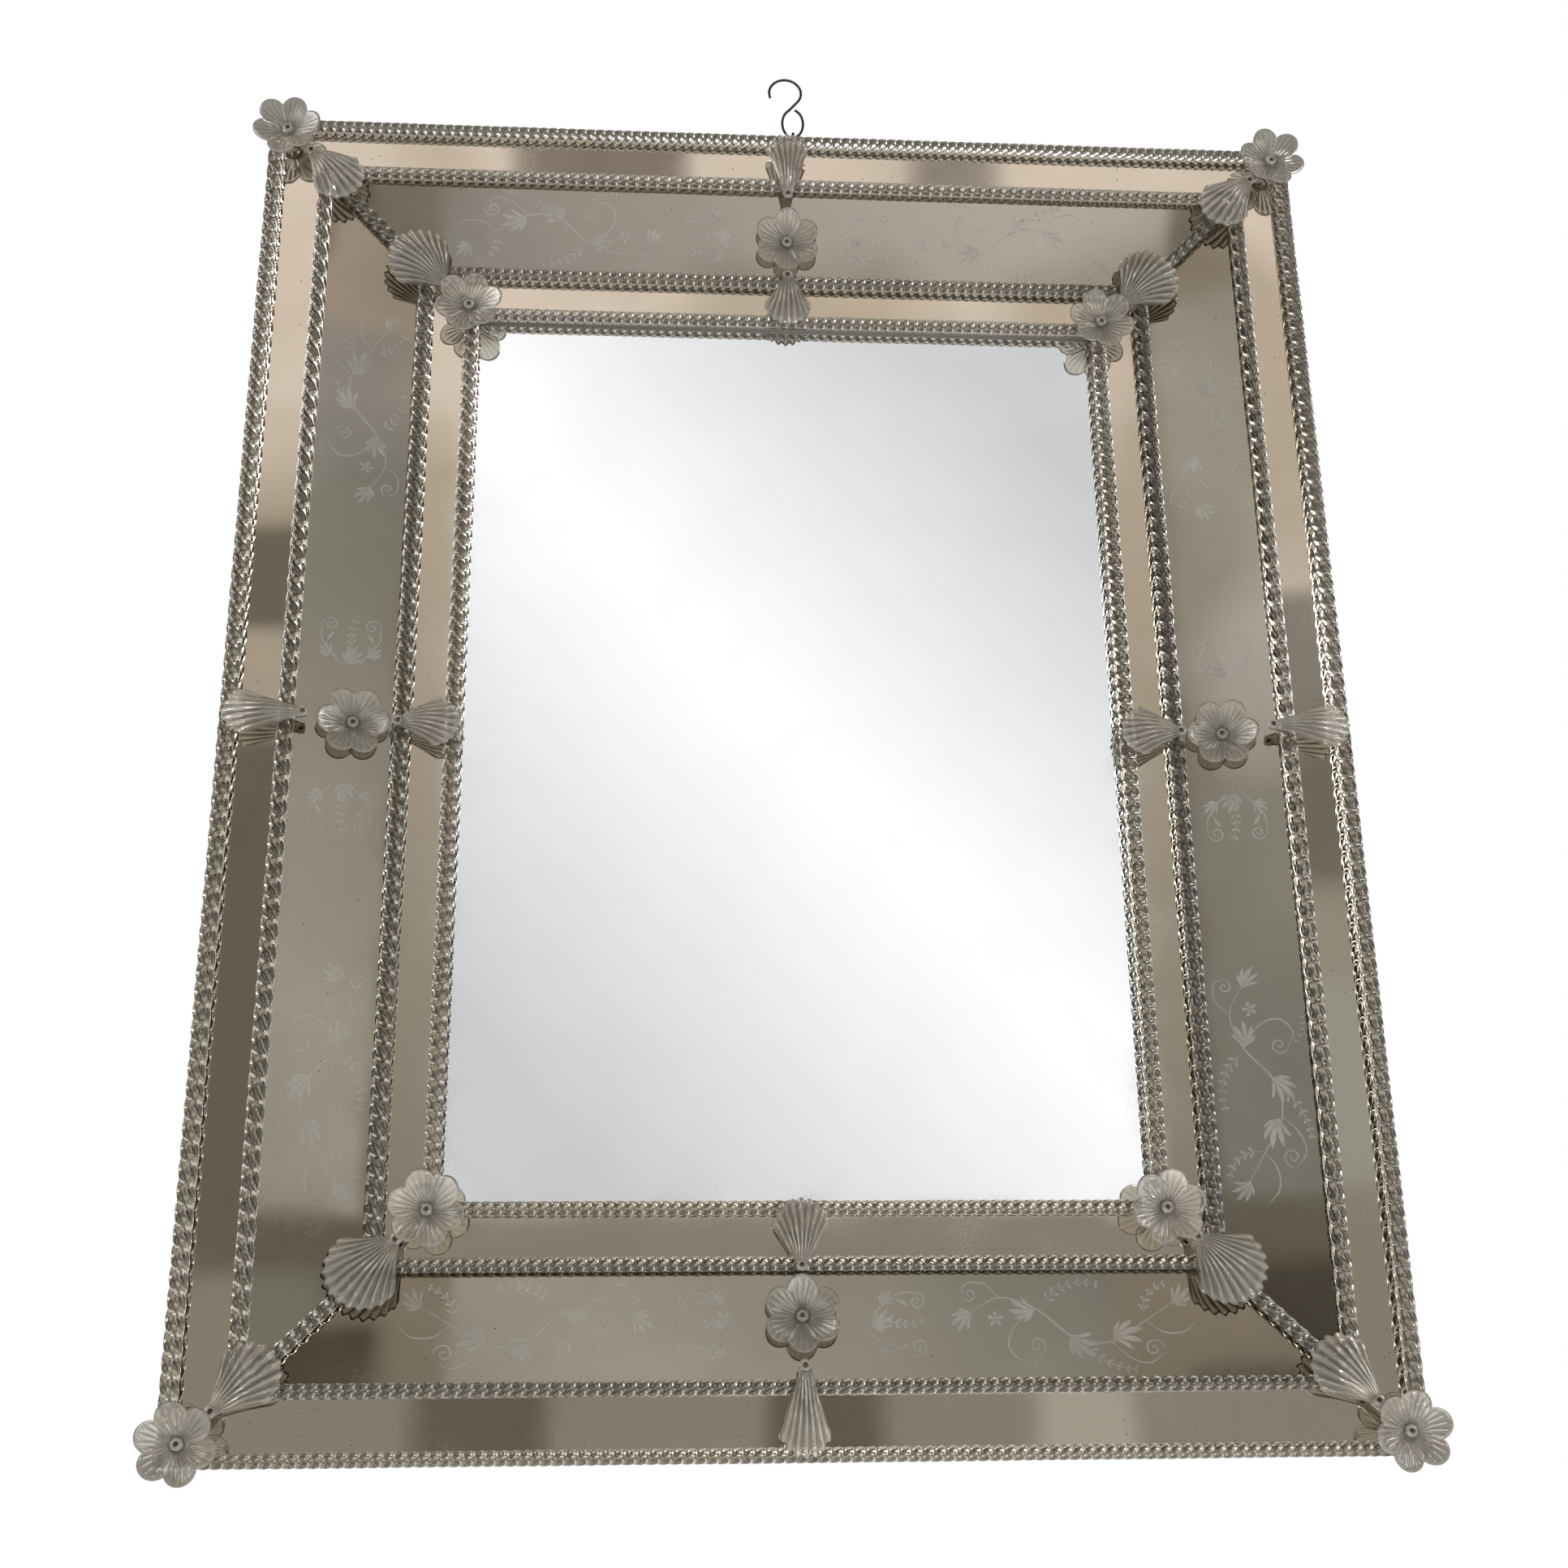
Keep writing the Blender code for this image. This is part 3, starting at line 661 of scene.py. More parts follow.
def rope_shell(half_length, full_radius, pitch, mitred, seed):
    """Twisted rope along local X, left-handed.

    A point of the section has the angle phase minus one turn per pitch, and a radius that dips
    between strands as the softened size of cos(strands * phase / 2). Slow sine waves along the
    rope swell it and let the lay drift. Near a mitred end the rings lean over until the last one
    lies in the mitre plane. The grooves' painted shade comes back beside the shell.
    """
    rings = int(2 * half_length / pitch * RINGS_PER_TURN) + 2
    along = np.linspace(-half_length, half_length, rings)[:, None]
    phase = np.linspace(0, 2 * math.pi, POINTS_AROUND_ROPE, endpoint=False)[None, :]
    crest = np.sqrt((np.cos(ROPE_STRANDS * phase / 2) ** 2 + GROOVE_SOFTNESS) / (1 + GROOVE_SOFTNESS))
    swell = 1 - ROPE_SWELL * (1 + np.sin(SWELL_WAVES * along + seed))
    radius = full_radius * (1 - ROPE_GROOVE * (1 - crest)) * swell
    uneven = LAY_DRIFT * np.sin(DRIFT_WAVES * along + 2.1 * seed)
    angle = phase - 2 * math.pi * (along + uneven) / pitch + seed
    inward = radius * np.cos(angle)
    forward = radius * np.sin(angle)
    if mitred:
        lean = np.clip(1 - (half_length - np.abs(along)) / MITRE_RAMP, 0, 1) * np.sign(along)
    else:
        lean = 0 * along
    # Painted shade darkens the grooves between the strands
    depth = np.clip((PAINTED_SHADE_EDGE - crest) / PAINTED_SHADE_FADE, 0, 1) + 0 * along
    shell = tube_shell(np.stack([along - lean * inward, inward, forward], axis=2))
    return shell, np.append(depth.ravel(), (0, 0))


def build_ropes():
    """Four mitred rings of rope, and one rope down each mitre of the engraved band."""
    for number, (row, form) in enumerate(ROPE_ROWS.items()):
        for turned, (side, (inward, _, half_side)) in enumerate(SIDES.items()):
            pitch = form["level"] if inward[0] == 0 else form["upright"]
            radius = rope_radius(side)
            inset = max(form["inset"], radius)
            shell, groove = rope_shell(half_side - GAP - inset, radius, pitch, True,
                                       1.7 * number + 0.9 * turned)
            place = side_matrix(side) @ shift(0, inset, form["base"] + radius)
            name = f"{row}_{side}"
            make_piece("twisted_" + name, placed([shell], place), ROPE_GLASS, [name],
                       groove=groove)
    clear = UPRIGHT_ROPE_RADIUS + LEVEL_ROPE_RADIUS * math.sqrt(0.5) + GAP
    height = (LEVEL_ROPE_RADIUS + GAP) / math.cos(SLOPE_ANGLE) + SLOPED_GLASS + GAP
    insets = (RIDGE_INSET + clear, BAND_INSET - clear)
    start, end = (np.array((0, diagonal(inset), slope_front(inset) + height)) for inset in insets)
    run = end - start
    length = np.linalg.norm(run)
    upright = np.eye(4)
    upright[:3, 0] = run / length
    upright[:3, 1] = (-1, 0, 0)
    upright[:3, 2] = np.cross(upright[:3, 0], upright[:3, 1])
    upright[:3, 3] = (start + end) / 2
    for turned, corner in enumerate(CORNERS):
        shell, groove = rope_shell(length / 2, LEVEL_ROPE_RADIUS, MITRE_ROPE_PITCH, False, 1.3 * turned)
        name = "mitre_rope_" + corner
        shells = placed([shell], corner_matrix(corner) @ upright)
        make_piece("twisted_" + name, shells, ROPE_GLASS, [name], groove=groove)


# Flowers and leaves

def petal_shell(number):
    """One petal of a flower about local Z, as a plate on a fan of rays from the middle.

    The petal's outline is a circle that touches its outer rays: on a ray at an angle the reach is
    middle * cos + root of (round ** 2 - (middle * sin) ** 2), as shares of the flower's radius.
    The height rises as the 1.5th power of the reach, and fine flutes run along the rays to a
    beaded rim with a lip that turns down. One side rides higher than the other, so that petals
    overlap in turn, and no two neighbours rise alike. Painted shade lies between the flutes and
    deep in the cup.
    """
    u = np.linspace(0, 1, 15)[:, None]
    v = np.linspace(-1, 1, 4 * PETAL_FLUTES + 1)[None, :]
    own = PETAL_HALF_ANGLE * v
    angle = own + 2 * math.pi * number / PETALS
    chord = np.clip(PETAL_ROUND ** 2 - (PETAL_MIDDLE * np.sin(own)) ** 2, 0, 1)
    edge = FLOWER_RADIUS * (PETAL_MIDDLE * np.cos(own) + np.sqrt(chord))
    radius = PETAL_START + (edge - PETAL_START) * u
    share = (radius - PETAL_START) / (FLOWER_RADIUS - PETAL_START)
    wave = np.cos(math.pi * PETAL_FLUTES * (v + 1))
    flute = FLUTE_DEPTH * wave * np.sin(math.pi * u ** 0.7)
    rise = PETAL_RISE * PETAL_RISES[number] * share ** 1.5
    tilt = PETAL_OVERLAP * v * (0.4 + 0.6 * share)
    cup = PETAL_CUP * v ** 2 * share
    low = PETAL_FOOT + rise + tilt + cup - PETAL_LIP * u ** 8
    bead = RIM_BEAD * np.exp(-((u - 0.93) / 0.05) ** 2)
    glass = PETAL_GLASS * (1 - 0.55 * u ** 4) * (1 - 0.5 * v ** 6) + bead
    x, y = radius * np.sin(angle), radius * np.cos(angle)
    upper = np.stack([x, y, low + glass + flute], axis=2)
    lower = np.stack([x, y, low - flute * 0.4], axis=2)
    # Painted shade between the flutes and deep in the cup
    painted_shade = FLUTE_PAINTED_SHADE * (1 - wave) * (1 - u ** 8) + CUP_PAINTED_SHADE * (1 - u) ** 3
    return plate_shell(upper, lower), np.concatenate([painted_shade.ravel(), painted_shade.ravel()])


def pin_shell(height):
    """Pin through a bead: a thin shank with a domed head that sits in the ring's hole."""
    head = RING_MAJOR - RING_MINOR * 0.85
    shank = [(PIN_SHANK, height - PIN_LENGTH), (PIN_SHANK, height - PIN_LIP)]
    dome = [(head * math.cos(a), height + PIN_DOME * math.sin(a)) for a in np.linspace(0, 1.4, 6)]
    return turned_shell([*shank, (head, height - PIN_LIP * 2 / 3), *dome])


def flower_shells():
    """Six petals on a small hub, with a ring bead in the middle, and the painted shade at every point.
    """
    petals, painted_shade = zip(*[petal_shell(k) for k in range(PETALS)])
    hub = turned_shell([
        (HUB_RADIUS * 0.8, 0.0), (HUB_RADIUS, 0.0007), (HUB_RADIUS * 0.9, 0.0016),
        (RING_MAJOR + RING_MINOR, BEAD_SEAT - 0.0004), (RING_MAJOR, BEAD_SEAT - 0.0002)], around=28)
    ring = ring_shell(RING_MAJOR, RING_MINOR, BEAD_SEAT + RING_MINOR)
    shells = [*petals, hub, ring]
    return shells, np.concatenate([*painted_shade, np.full(len(hub[0]), HUB_PAINTED_SHADE), np.zeros(len(ring[0]))])


def leaf_dome(reach, across):
    """Height of a leaf's arch: a sine along it that falls to the sides as the square."""
    return LEAF_ARCH * np.sin(math.pi * reach ** 0.8) * (1 - across ** 2)


def leaf_shells(form, tail, lift=0.0):
    """Ribbed, domed leaf fanning along local Y from the bead at the origin, its ring bead and painted
    shade.

    A point lies on a ray from the bead: its angle is the spread times v and its distance the
    length times u, less the rounding times v squared. Ribs are the rays' cosine wave, which
    grows towards the tip, ends in a knob on each rib and scallops the edge between them. Painted
    shade lies between the ribs and on the stem.
    """
    v = np.linspace(-1, 1, 6 * form["ribs"] + 1)[None, :]
    u = np.linspace(0, 1, 30)[:, None] ** 0.9
    ridge = 0.5 + 0.5 * np.cos(math.pi * form["ribs"] * (v + 1) + math.pi)
    angle = math.radians(form["spread"]) * v
    scallop = 1 - EDGE_SCALLOP * u ** 5 * (1 - ridge)
    radius = form["length"] * u * (1 - form["rounding"] * v ** 2) * scallop
    x = radius * np.sin(angle) + STEM_WIDTH / 2 * v * (1 - u) ** 2
    y = radius * np.cos(angle)
    knob = RIB_KNOB * np.exp(-((u - 0.95) / 0.045) ** 2) * ridge
    rib = RIB_HEIGHT * np.clip(u * 2.2, 0, 1) * ridge ** 0.8 * (1 - 0.5 * u ** 12)
    low = leaf_dome(u, v) + 0.6 * rib + math.tan(lift) * np.maximum(y, 0)
    glass = LEAF_GLASS * (1 - 0.45 * u ** 6) * (1 - 0.4 * v ** 8)
    stem_u = np.linspace(-tail, 0, 6, endpoint=False)[:, None]
    stem_x = STEM_WIDTH / 2 * v + 0 * stem_u
    stem_y = stem_u + 0 * v
    x, y = np.concatenate([stem_x, x]), np.concatenate([stem_y, y])
    low = np.concatenate([0 * stem_x, low])
    thick = np.concatenate([0 * stem_x + LEAF_GLASS * (1 - 0.4 * v ** 8), glass + 0.4 * rib + knob])
    plate = plate_shell(np.stack([x, y, low + thick], axis=2), np.stack([x, y, low], axis=2))
    ring = ring_shell(RING_MAJOR, RING_MINOR, LEAF_GLASS + RING_MINOR)
    # Painted shade between the ribs and on the stem
    painted_shade = np.concatenate([0 * stem_x + STEM_PAINTED_SHADE, (1 - ridge) * (1 - u ** 10)]).ravel()
    return [plate, ring], np.concatenate([painted_shade, painted_shade, np.zeros(len(ring[0]))])


def build_ornaments():
    """Flower and leaf sprays at the corners, a flower between two leaves on each side, and pins."""
    # Every glass piece carries its painted shade as a share at each point
    flower, flower_painted_shade = flower_shells()
    flower_pin = pin_shell(BEAD_SEAT + RING_MINOR + PIN_STANDS)
    leaf_pin = pin_shell(LEAF_GLASS + RING_MINOR + PIN_STANDS)
    half_turn = turn(math.pi, "Z")
    bead = shift(0, CORNER_BEAD_DISTANCE, 0)
    pins = []
    high = over_rope(HIGH_ROPE_BASE, UPRIGHT_ROPE_RADIUS)
    low = over_rope(LOW_ROPE_BASE, UPRIGHT_ROPE_RADIUS)
    for corner in CORNERS:
        base = corner_matrix(corner)
        outer = base @ shift(0, diagonal(OUTER_FLOWER_INSET), high)
        inner = base @ shift(0, diagonal(INNER_FLOWER_INSET), low) @ half_turn
        sprays = (
            ("outer_spray", outer, OUTER_CORNER_LEAF, 0.0),
            ("inner_spray", inner, INNER_CORNER_LEAF, INNER_CORNER_LIFT),
        )
        for row, place, form, lift in sprays:
            leaf, leaf_painted_shade = leaf_shells(form, CORNER_STEM_TAIL, lift)
            shells = placed(flower + placed(leaf, bead), place)
            name = f"{row}_{corner}"
            make_piece("glass_" + name, shells, PRESSED_GLASS, [name],
                       groove=np.append(flower_painted_shade, leaf_painted_shade))
            pins += placed([flower_pin], place) + placed([leaf_pin], place @ bead)
    plate_front = slope_front(MID_FLOWER_INSET) + SLOPED_GLASS + 2 * GAP
    for side in SIDES:
        base = side_matrix(side)
        high = over_rope(HIGH_ROPE_BASE, rope_radius(side))
        low = over_rope(LOW_ROPE_BASE, rope_radius(side))
        on_band = base @ shift(0, MID_FLOWER_INSET, plate_front) @ turn(-SLOPE_ANGLE, "X")
        outer = base @ shift(0, OUTER_LEAF_BEAD_INSET, high) @ half_turn
        inner = base @ shift(0, INNER_LEAF_BEAD_INSET, low)
        forms = (
            ("side_flower", on_band, (flower, flower_painted_shade), flower_pin),
            ("outer_leaf", outer, leaf_shells(OUTER_LEAF, MID_STEM_TAIL), leaf_pin),
            ("inner_leaf", inner, leaf_shells(INNER_LEAF, MID_STEM_TAIL), leaf_pin),
        )
        for row, place, (shells, painted_shade), pin in forms:
            name = f"{row}_{side}"
            make_piece("glass_" + name, placed(shells, place), PRESSED_GLASS, [name],
                       groove=painted_shade)
            pins += placed([pin], place)
    make_piece("pins", pins, IRON)


# Hook and screw eye

def arc(center, radius_x, radius_y, start, end, count):
    """Points of an elliptical arc, angles in degrees."""
    angle = np.radians(np.linspace(start, end, count))
    return np.stack([center[0] + radius_x * np.cos(angle), center[1] + radius_y * np.sin(angle)], axis=1)


def wire_shell(path, radius, flat_axis):
    """Round wire along a flat path: a circle in the path's normal plane, shrunk to rounded ends.

    The path is first eased by averaging each point with its neighbours a few times.
    """
    for _ in range(6):
        path = np.concatenate([path[:1], (path[:-2] + 2 * path[1:-1] + path[2:]) / 4, path[-1:]])
    tangent = np.gradient(path, axis=0)
    tangent /= np.linalg.norm(tangent, axis=1, keepdims=True)
    side = np.cross(tangent, flat_axis)
    distance = np.concatenate([[0], np.cumsum(np.linalg.norm(np.diff(path, axis=0), axis=1))])
    nearest = np.minimum(distance, distance[-1] - distance)
    taper = np.sqrt(np.clip(1 - np.clip(1 - nearest / radius, 0, 1) ** 2, 0.02, 1))
    angle = np.linspace(0, 2 * math.pi, 16, endpoint=False)
    across, out = np.cos(angle)[None, :, None], np.sin(angle)[None, :, None]
    circle = across * side[:, None] + out * np.array(flat_axis)
    return tube_shell(path[:, None] + radius * taper[:, None, None] * circle)


def build_hook():
    """Screw eye in the top rail, and the wire hook that links through it."""
    wood_top = HEIGHT / 2 - WOOD_INSET
    ring_low = wood_top + SCREW_EYE_STANDOFF
    ring_center = ring_low + SCREW_EYE_RADIUS
    shank = np.linspace((-HOOK_FRONT, wood_top - SCREW_DEPTH), (-HOOK_FRONT, ring_low - SCREW_WIRE), 24)
    ring = arc((-HOOK_FRONT, ring_center), SCREW_EYE_RADIUS, SCREW_EYE_RADIUS, -80, 244, 56)
    flat = np.concatenate([shank, ring])
    screw = np.stack([np.full(len(flat), HOOK_OFFSET), flat[:, 0], flat[:, 1]], axis=1)
    make_piece("round_screw_eye", [wire_shell(screw, SCREW_WIRE / 2, (1.0, 0.0, 0.0))], IRON,
               ["screw_eye"])
    eye_low = ring_center + SCREW_EYE_RADIUS - SCREW_WIRE / 2 - GAP - HOOK_WIRE / 2
    eye_center = (HOOK_OFFSET, eye_low + HOOK_EYE_HALF_HEIGHT)
    eye = arc(eye_center, HOOK_EYE_HALF_WIDTH, HOOK_EYE_HALF_HEIGHT, 80, -250, 90)
    hook_center = (HOOK_OFFSET - HOOK_LEAN, eye_center[1] + HOOK_WAIST)
    bend = arc(hook_center, HOOK_RADIUS, HOOK_RADIUS, -50, 205, 60)
    joint = np.linspace(eye[-1], bend[0], 7)[1:-1]
    flat = np.concatenate([eye, joint, bend])
    wire = np.stack([flat[:, 0], np.full(len(flat), -HOOK_FRONT), flat[:, 1]], axis=1)
    make_piece("round_hanging_hook", [wire_shell(wire, HOOK_WIRE / 2, (0.0, 1.0, 0.0))], IRON,
               ["hanging_hook"])


# Engraving: strokes in millimetres on the band, x along it and y across it

STROKE_LOW = 0.00006
STROKE_HIGH = 0.00018
SCROLL_PLACE = {"level": 0.235, "upright": 0.335}
SPRIG_PLACE = 0.052


def curve_through(points, count=22):
    """Smooth line through a few points: each span is a cubic with the neighbours' slopes."""
    points = np.array(points, float)
    slopes = np.gradient(points, axis=0)
    t = np.linspace(0, len(points) - 1, count)
    span = np.minimum(t.astype(int), len(points) - 2)
    s = (t - span)[:, None]
    a, b, da, db = points[span], points[span + 1], slopes[span], slopes[span + 1]
    return ((2 * s ** 3 - 3 * s ** 2 + 1) * a + (s ** 3 - 2 * s ** 2 + s) * da
            + (3 * s ** 2 - 2 * s ** 3) * b + (s ** 3 - s ** 2) * db)


def line_stroke(points, width, count=22, blunt=0.25):
    """Stroke that swells in its middle: its width is the sine of its length, never under blunt."""
    t = np.linspace(0, 1, count)
    return curve_through(points, count), width * (blunt + (1 - blunt) * np.sin(math.pi * t))


def volute_stroke(center, radius, turns, start, hand, width):
    """Scroll: the radius shrinks as the 0.8th power of the way round, down to a dot at the end."""
    t = np.linspace(0, 1, 12 + int(16 * turns))
    reach = radius * (1 - 0.86 * t ** 0.8)
    angle = math.radians(start) + hand * 2 * math.pi * turns * t
    line = np.stack([center[0] + reach * np.cos(angle), center[1] + reach * np.sin(angle)], axis=1)
    dot = 0.9 * width * np.exp(-((t - 1) / 0.06) ** 2)
    return line, width * (0.35 + 0.65 * np.sin(math.pi * t ** 0.7)) + dot


def drop_stroke(base, angle, length, width, bend=0.18):
    """Teardrop leaf: narrow at its base, round at its tip, bent a little to one side."""
    t = np.linspace(0, 1, 9)
    way = math.radians(angle)
    forward, side = np.array((math.cos(way), math.sin(way))), np.array((-math.sin(way), math.cos(way)))
    line = np.array(base) + np.outer(t * length, forward) + np.outer(bend * length * t ** 2, side)
    return line, width * (0.12 + np.sin(math.pi * t ** 1.7) * 0.88)


def ear_strokes(points, pairs, length, width):
    """Ear of leaflets: pairs of drops along a curved stem, shorter towards its tip."""
    strokes = [line_stroke(points, 0.7)]
    spine = curve_through(points, pairs + 2)
    heading = np.degrees(np.arctan2(*np.gradient(spine, axis=0).T[::-1]))
    for k in range(1, pairs + 1):
        size = length * (1 - 0.5 * k / (pairs + 1))
        strokes.append(drop_stroke(spine[k], heading[k] + 38, size, width))
        strokes.append(drop_stroke(spine[k], heading[k] - 38, size, width, bend=-0.18))
    return strokes


def rosette_strokes(center, radius, petals=5):
    """Small flower: rounded drops about a dot."""
    angles = [360 * k / petals + 18 for k in range(petals)]
    strokes = [drop_stroke(center, angle, radius, radius * 0.5, bend=0) for angle in angles]
    return strokes + [volute_stroke(center, radius * 0.22, 1, 0, 1, radius * 0.12)]


def plume_strokes(base, angle, reach, hand):
    """Plume: comma leaves fanning from one point, the middle ones longest, all curled one way."""
    strokes = []
    for k, share in enumerate((0.62, 0.86, 1.0, 0.90, 0.66)):
        way = angle + hand * (k - 2) * 23
        strokes.append(drop_stroke(base, way, reach * share, reach * 0.20 * share, bend=0.34 * hand))
    return strokes


def scroll_motif():
    """Large spray: a wavy stem with plumes, volutes, three ears, a row of drops and a rosette."""
    strokes = [
        line_stroke([(-96, 6), (-66, 22), (-34, 12), (-4, -12), (28, -16), (60, 2), (92, 22)], 1.5, 48),
        line_stroke([(-34, 12), (-54, -2), (-60, -20), (-48, -32), (-34, -27)], 1.5, 30),
        volute_stroke((-36, -19), 9, 1.4, -90, 1, 1.6),
        line_stroke([(28, -16), (44, -30), (60, -34), (72, -26)], 1.4, 20),
        volute_stroke((64, -22), 9, 1.4, 0, 1, 1.5),
        line_stroke([(-66, 22), (-78, 34), (-94, 34), (-98, 25)], 1.4, 20),
        volute_stroke((-91, 25), 7, 1.3, 180, 1, 1.4),
        line_stroke([(60, 2), (74, -8), (92, -8), (104, 2)], 1.3, 20),
    ]
    strokes += plume_strokes((-6, -10), -62, 25, 1)
    strokes += plume_strokes((-36, 12), 200, 22, -1)
    strokes += plume_strokes((30, -14), 38, 26, -1)
    strokes += plume_strokes((84, 17), 20, 20, 1)
    strokes += plume_strokes((-90, 8), 188, 20, 1)
    strokes += ear_strokes([(-30, 14), (-16, 28), (4, 35), (26, 32)], 7, 8, 2.4)
    strokes += ear_strokes([(4, -16), (18, -30), (36, -38), (52, -40)], 6, 7, 2.2)
    strokes += ear_strokes([(58, 4), (60, 18), (70, 30), (84, 35)], 5, 7, 2.1)
    strokes += [drop_stroke((-60 + 5 * k, -38 + 0.4 * k * k), 250 + 9 * k, 6, 1.8) for k in range(5)]
    strokes += rosette_strokes((-70, 4), 7)
    return strokes


def sprig_motif():
    """Small spray beside the middle flower: a plume and an ear between two opening scrolls."""
    strokes = ear_strokes([(0, 0), (18, 3), (36, 0), (56, 5)], 7, 8, 2.4)
    strokes += plume_strokes((6, 0), 0, 20, 1)
    for hand in (1, -1):
        stem = [(2, 4 * hand), (14, 14 * hand), (30, 26 * hand), (48, 27 * hand)]
        strokes.append(line_stroke(stem, 1.5, 24))
        strokes.append(volute_stroke((46, 19 * hand), 8, 1.5, 90 * hand, -hand, 1.5))
        strokes += plume_strokes((16, 16 * hand), 74 * hand, 15, -hand)
        strokes.append(drop_stroke((26, 22 * hand), -12 * hand, 14, 3.0, bend=-0.3 * hand))
    return strokes


def stroke_shell(line, width, place):
    """Flat closed ribbon along a line: four points a station, half the width to either side."""
    tangent = np.gradient(line, axis=0)
    tangent /= np.linalg.norm(tangent, axis=1, keepdims=True)
    side = np.stack([-tangent[:, 1], tangent[:, 0]], axis=1) * width[:, None] / 2
    left, right = (line + side) / 1000, (line - side) / 1000
    corners = [(left, STROKE_HIGH), (right, STROKE_HIGH), (right, STROKE_LOW), (left, STROKE_LOW)]
    edges = [np.insert(flat, 2, height, axis=1) for flat, height in corners]
    return placed([tube_shell(np.stack(edges, axis=1))], place)


def build_engraving():
    """The same sprays on each band, mirrored about its middle flower."""
    middle = (RIDGE_INSET + BAND_INSET) / 2
    front = slope_front(middle) + SLOPED_GLASS + GAP
    scroll, sprig = scroll_motif(), sprig_motif()
    for side, (inward, _, _) in SIDES.items():
        on_band = side_matrix(side) @ shift(0, middle, front) @ turn(-SLOPE_ANGLE, "X")
        far = SCROLL_PLACE["upright" if inward[0] else "level"]
        shells = []
        for hand in (1, -1):
            flip = np.array((hand, 1))
            for motif, distance in ((scroll, far), (sprig, SPRIG_PLACE)):
                place = on_band @ shift(hand * distance, 0, 0)
                for line, width in motif:
                    shells += stroke_shell(line * flip, width, place)
        make_piece("engraving_" + side, shells, FROSTED, sharp_angle=40)


# Finishes of the solids that are kept

def dress_solids():
    finishes = {"center_mirror": CENTER_SILVER, "back_panel": WOOD_UPRIGHT}
    for side, (inward, _, _) in SIDES.items():
        finishes["wood_rail_" + side] = WOOD_UPRIGHT if inward[0] else WOOD_LEVEL
        finishes["outer_strip_" + side] = STRIP_SILVER
        finishes["inner_strip_" + side] = STRIP_SILVER
        finishes["engraved_band_" + side] = BAND_SILVER
    for name, material in finishes.items():
        for slot in nodes[name].material_slots:
            slot.material = material


# Floor, light and camera

def build_floor():
    """Pale plaster floor, a wide plate under the mirror, dimmer where the clear glass shows it."""
    material, tree, shader, place = new_material("pale_floor")
    soft = noise(tree, place, 1.5, 4.0)
    plaster = mix_color(tree, soft, PLASTER_DULL, PLASTER_PALE)
    light_path = add_node(tree, "ShaderNodeLightPath")
    through = math_node(tree, "GREATER_THAN", light_path.outputs["Transmission Depth"], 0.5)
    tree.links.new(mix_color(tree, through, plaster, FLOOR_IN_GLASS), shader.inputs["Base Color"])
    shader.inputs["Roughness"].default_value = 0.8
    shader.inputs["Emission Color"].default_value = (1, 1, 1, 1)
    glow = ramp(tree, through, 0.0, 1.0, FLOOR_GLOW, FLOOR_GLOW_IN_GLASS)
    tree.links.new(glow, shader.inputs["Emission Strength"])
    mesh = bpy.data.meshes.new("floor")
    corners = [(-1, -1), (1, -1), (1, 1), (-1, 1)]
    points = [(x * FLOOR_HALF, y * FLOOR_HALF, FLOOR_HEIGHT) for x, y in corners]
    mesh.from_pydata(points, [], [(0, 1, 2, 3)])
    mesh.materials.append(material)
    floor = bpy.data.objects.new("floor", mesh)
    bpy.context.scene.collection.objects.link(floor)


def panel(tree, across, up, left, right, low, high, soft):
    """Mask of a soft-edged rectangle in the reflected direction's slopes across and up."""
    mask = product(tree, ramp(tree, across, left - soft, left + soft),
                   ramp(tree, across, right + soft, right - soft))
    mask = product(tree, mask, ramp(tree, up, low - soft, low + soft))
    return product(tree, mask, ramp(tree, up, high + soft, high - soft))


def mirrored_room(tree, across, up, forward, distance):
    """Colour of the room in the plates: walls, flats and the window, which is dull on a slant.

    Walls near the window are beige above and grey below, with a few darker and paler flats. They
    go dark far aside and dim behind.
    """
    wall = mix_color(tree, ramp(tree, up, 0.15, 0.62), WALL_LOW, WALL_HIGH)
    for place, color in FLATS:
        wall = mix_color(tree, panel(tree, across, up, *place, FLAT_EDGE), wall, color)
    room = mix_color(tree, ramp(tree, distance, 0.45, 0.95), wall, WALL_FAR_ASIDE)
    room = mix_color(tree, ramp(tree, forward, 0.02, -0.10), room, WALL_BEHIND)
    off_across = math_node(tree, "SUBTRACT", across, WINDOW_MIDDLE[0])
    off_up = math_node(tree, "SUBTRACT", up, WINDOW_MIDDLE[1])
    slant = math_node(tree, "ABSOLUTE", total(tree, product(tree, off_across, 1.1), off_up))
    window = mix_color(tree, ramp(tree, slant, 0.02, 0.34), WINDOW_BRIGHT, WINDOW_DULL)
    return mix_color(tree, panel(tree, across, up, *WINDOW, WINDOW_EDGE), room, window)


def glass_room(tree, height, forward, distance):
    """Colour of the room in clear glass: a pale window in the dark, bright low sides, a dim back."""
    front = mix_color(tree, ramp(tree, distance, 0.40, 0.54), GLASS_WINDOW, GLASS_ROUND_WINDOW)
    sides = mix_color(tree, ramp(tree, height, 0.10, 0.42), GLASS_SIDE_LOW, GLASS_SIDE_HIGH)
    room = mix_color(tree, ramp(tree, forward, 0.62, 0.50), front, sides)
    return mix_color(tree, ramp(tree, forward, -0.10, -0.40), room, GLASS_BEHIND)


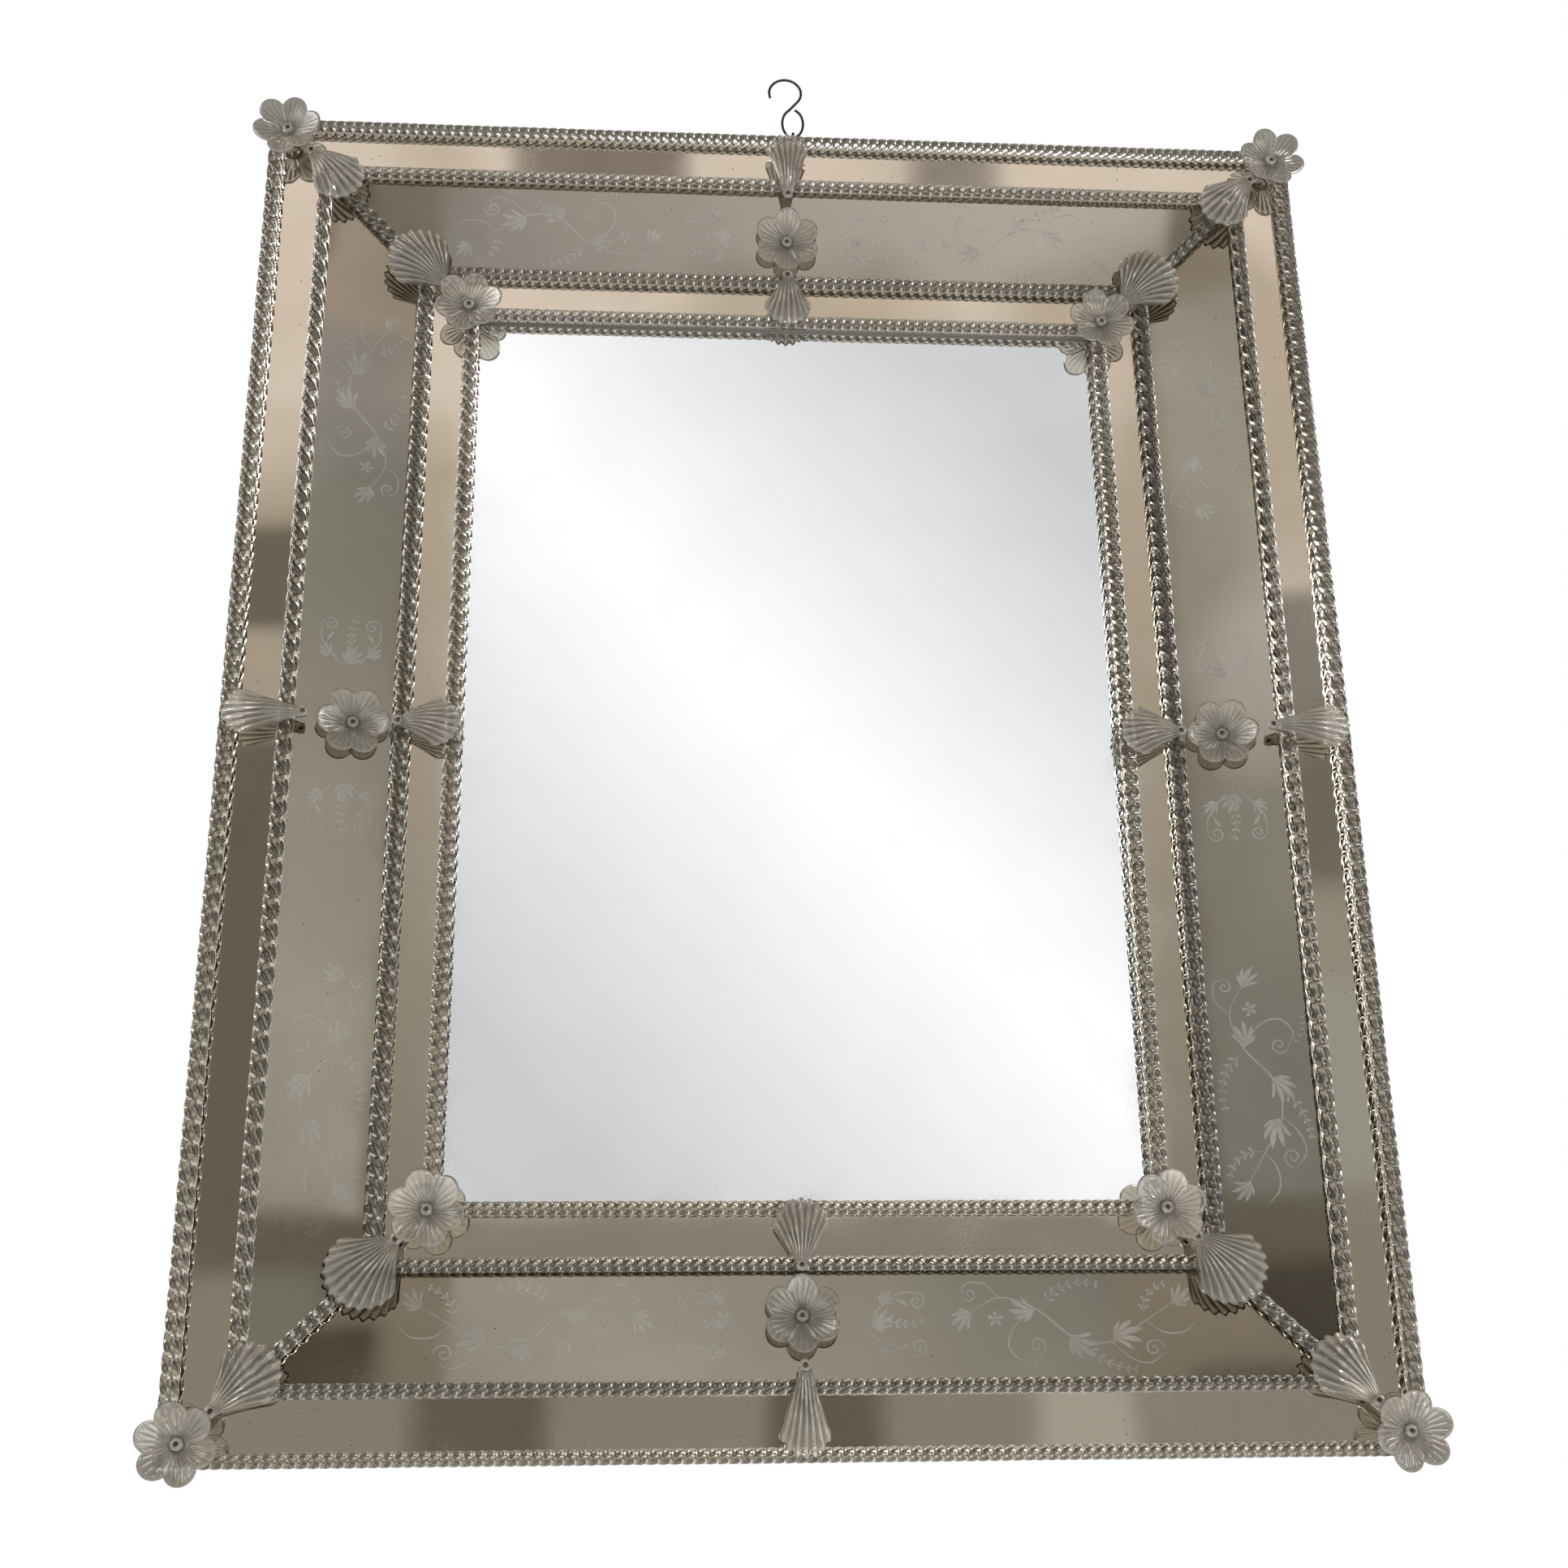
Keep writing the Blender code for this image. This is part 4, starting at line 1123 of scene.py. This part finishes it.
def build_world():
    """Soft studio: one broad white window in front, as the centre plate sees it, in a dim warm room.

    A direction is read as its slopes across and up, away from the front, and its distance is
    that of the slopes from the window's middle. The camera itself sees plain white.
    """
    world = bpy.data.worlds.new("studio")
    bpy.context.scene.world = world
    world.use_nodes = True
    tree = world.node_tree
    tree.nodes.clear()
    place = add_node(tree, "ShaderNodeTexCoord")
    parts = add_node(tree, "ShaderNodeSeparateXYZ", {0: place.outputs["Generated"]})
    forward = product(tree, parts.outputs[1], -1.0)
    depth = math_node(tree, "MAXIMUM", forward, 0.02)
    across = math_node(tree, "DIVIDE", parts.outputs[0], depth)
    up = math_node(tree, "DIVIDE", parts.outputs[2], depth)
    slopes = add_node(tree, "ShaderNodeCombineXYZ", {0: across, 1: up})
    apart = add_node(tree, "ShaderNodeVectorMath", {0: slopes.outputs[0], 1: (*WINDOW_MIDDLE, 0.0)},
                     operation="DISTANCE")
    distance = apart.outputs["Value"]
    light_path = add_node(tree, "ShaderNodeLightPath")
    through = math_node(tree, "GREATER_THAN", light_path.outputs["Transmission Depth"], 0.5)
    color = mix_color(tree, through, mirrored_room(tree, across, up, forward, distance),
                      glass_room(tree, parts.outputs[2], forward, distance))
    lit = add_node(tree, "ShaderNodeBackground", {"Color": color, "Strength": 1.0})
    white = add_node(tree, "ShaderNodeBackground", {"Color": (1, 1, 1, 1), "Strength": 1.0})
    both = add_node(tree, "ShaderNodeMixShader", {
        0: light_path.outputs["Is Camera Ray"], 1: lit.outputs[0], 2: white.outputs[0]})
    end = add_node(tree, "ShaderNodeOutputWorld")
    tree.links.new(both.outputs[0], end.inputs["Surface"])


def build_lights():
    """Square area lights aimed at the origin, out of what the plates mirror towards the camera."""
    for name, (place, size, power) in LIGHTS.items():
        data = bpy.data.lights.new(name, "AREA")
        data.size = size
        data.energy = power
        light = bpy.data.objects.new(name, data)
        light.location = place
        light.rotation_euler = (-Vector(place)).to_track_quat("-Z", "Y").to_euler()
        bpy.context.scene.collection.objects.link(light)


def build_camera():
    data = bpy.data.cameras.new("camera")
    data.sensor_fit = "HORIZONTAL"
    data.sensor_width = SENSOR
    data.lens = CAMERA_LENS
    data.clip_end = 100
    camera = bpy.data.objects.new("camera", data)
    camera.location = CAMERA_PLACE
    camera.rotation_euler = [math.radians(angle) for angle in CAMERA_TILT]
    bpy.context.scene.collection.objects.link(camera)
    bpy.context.scene.camera = camera


build_ropes()
build_ornaments()
build_hook()
build_engraving()
dress_solids()
build_floor()
build_world()
build_lights()
build_camera()
bpy.context.scene.view_settings.view_transform = "Standard"
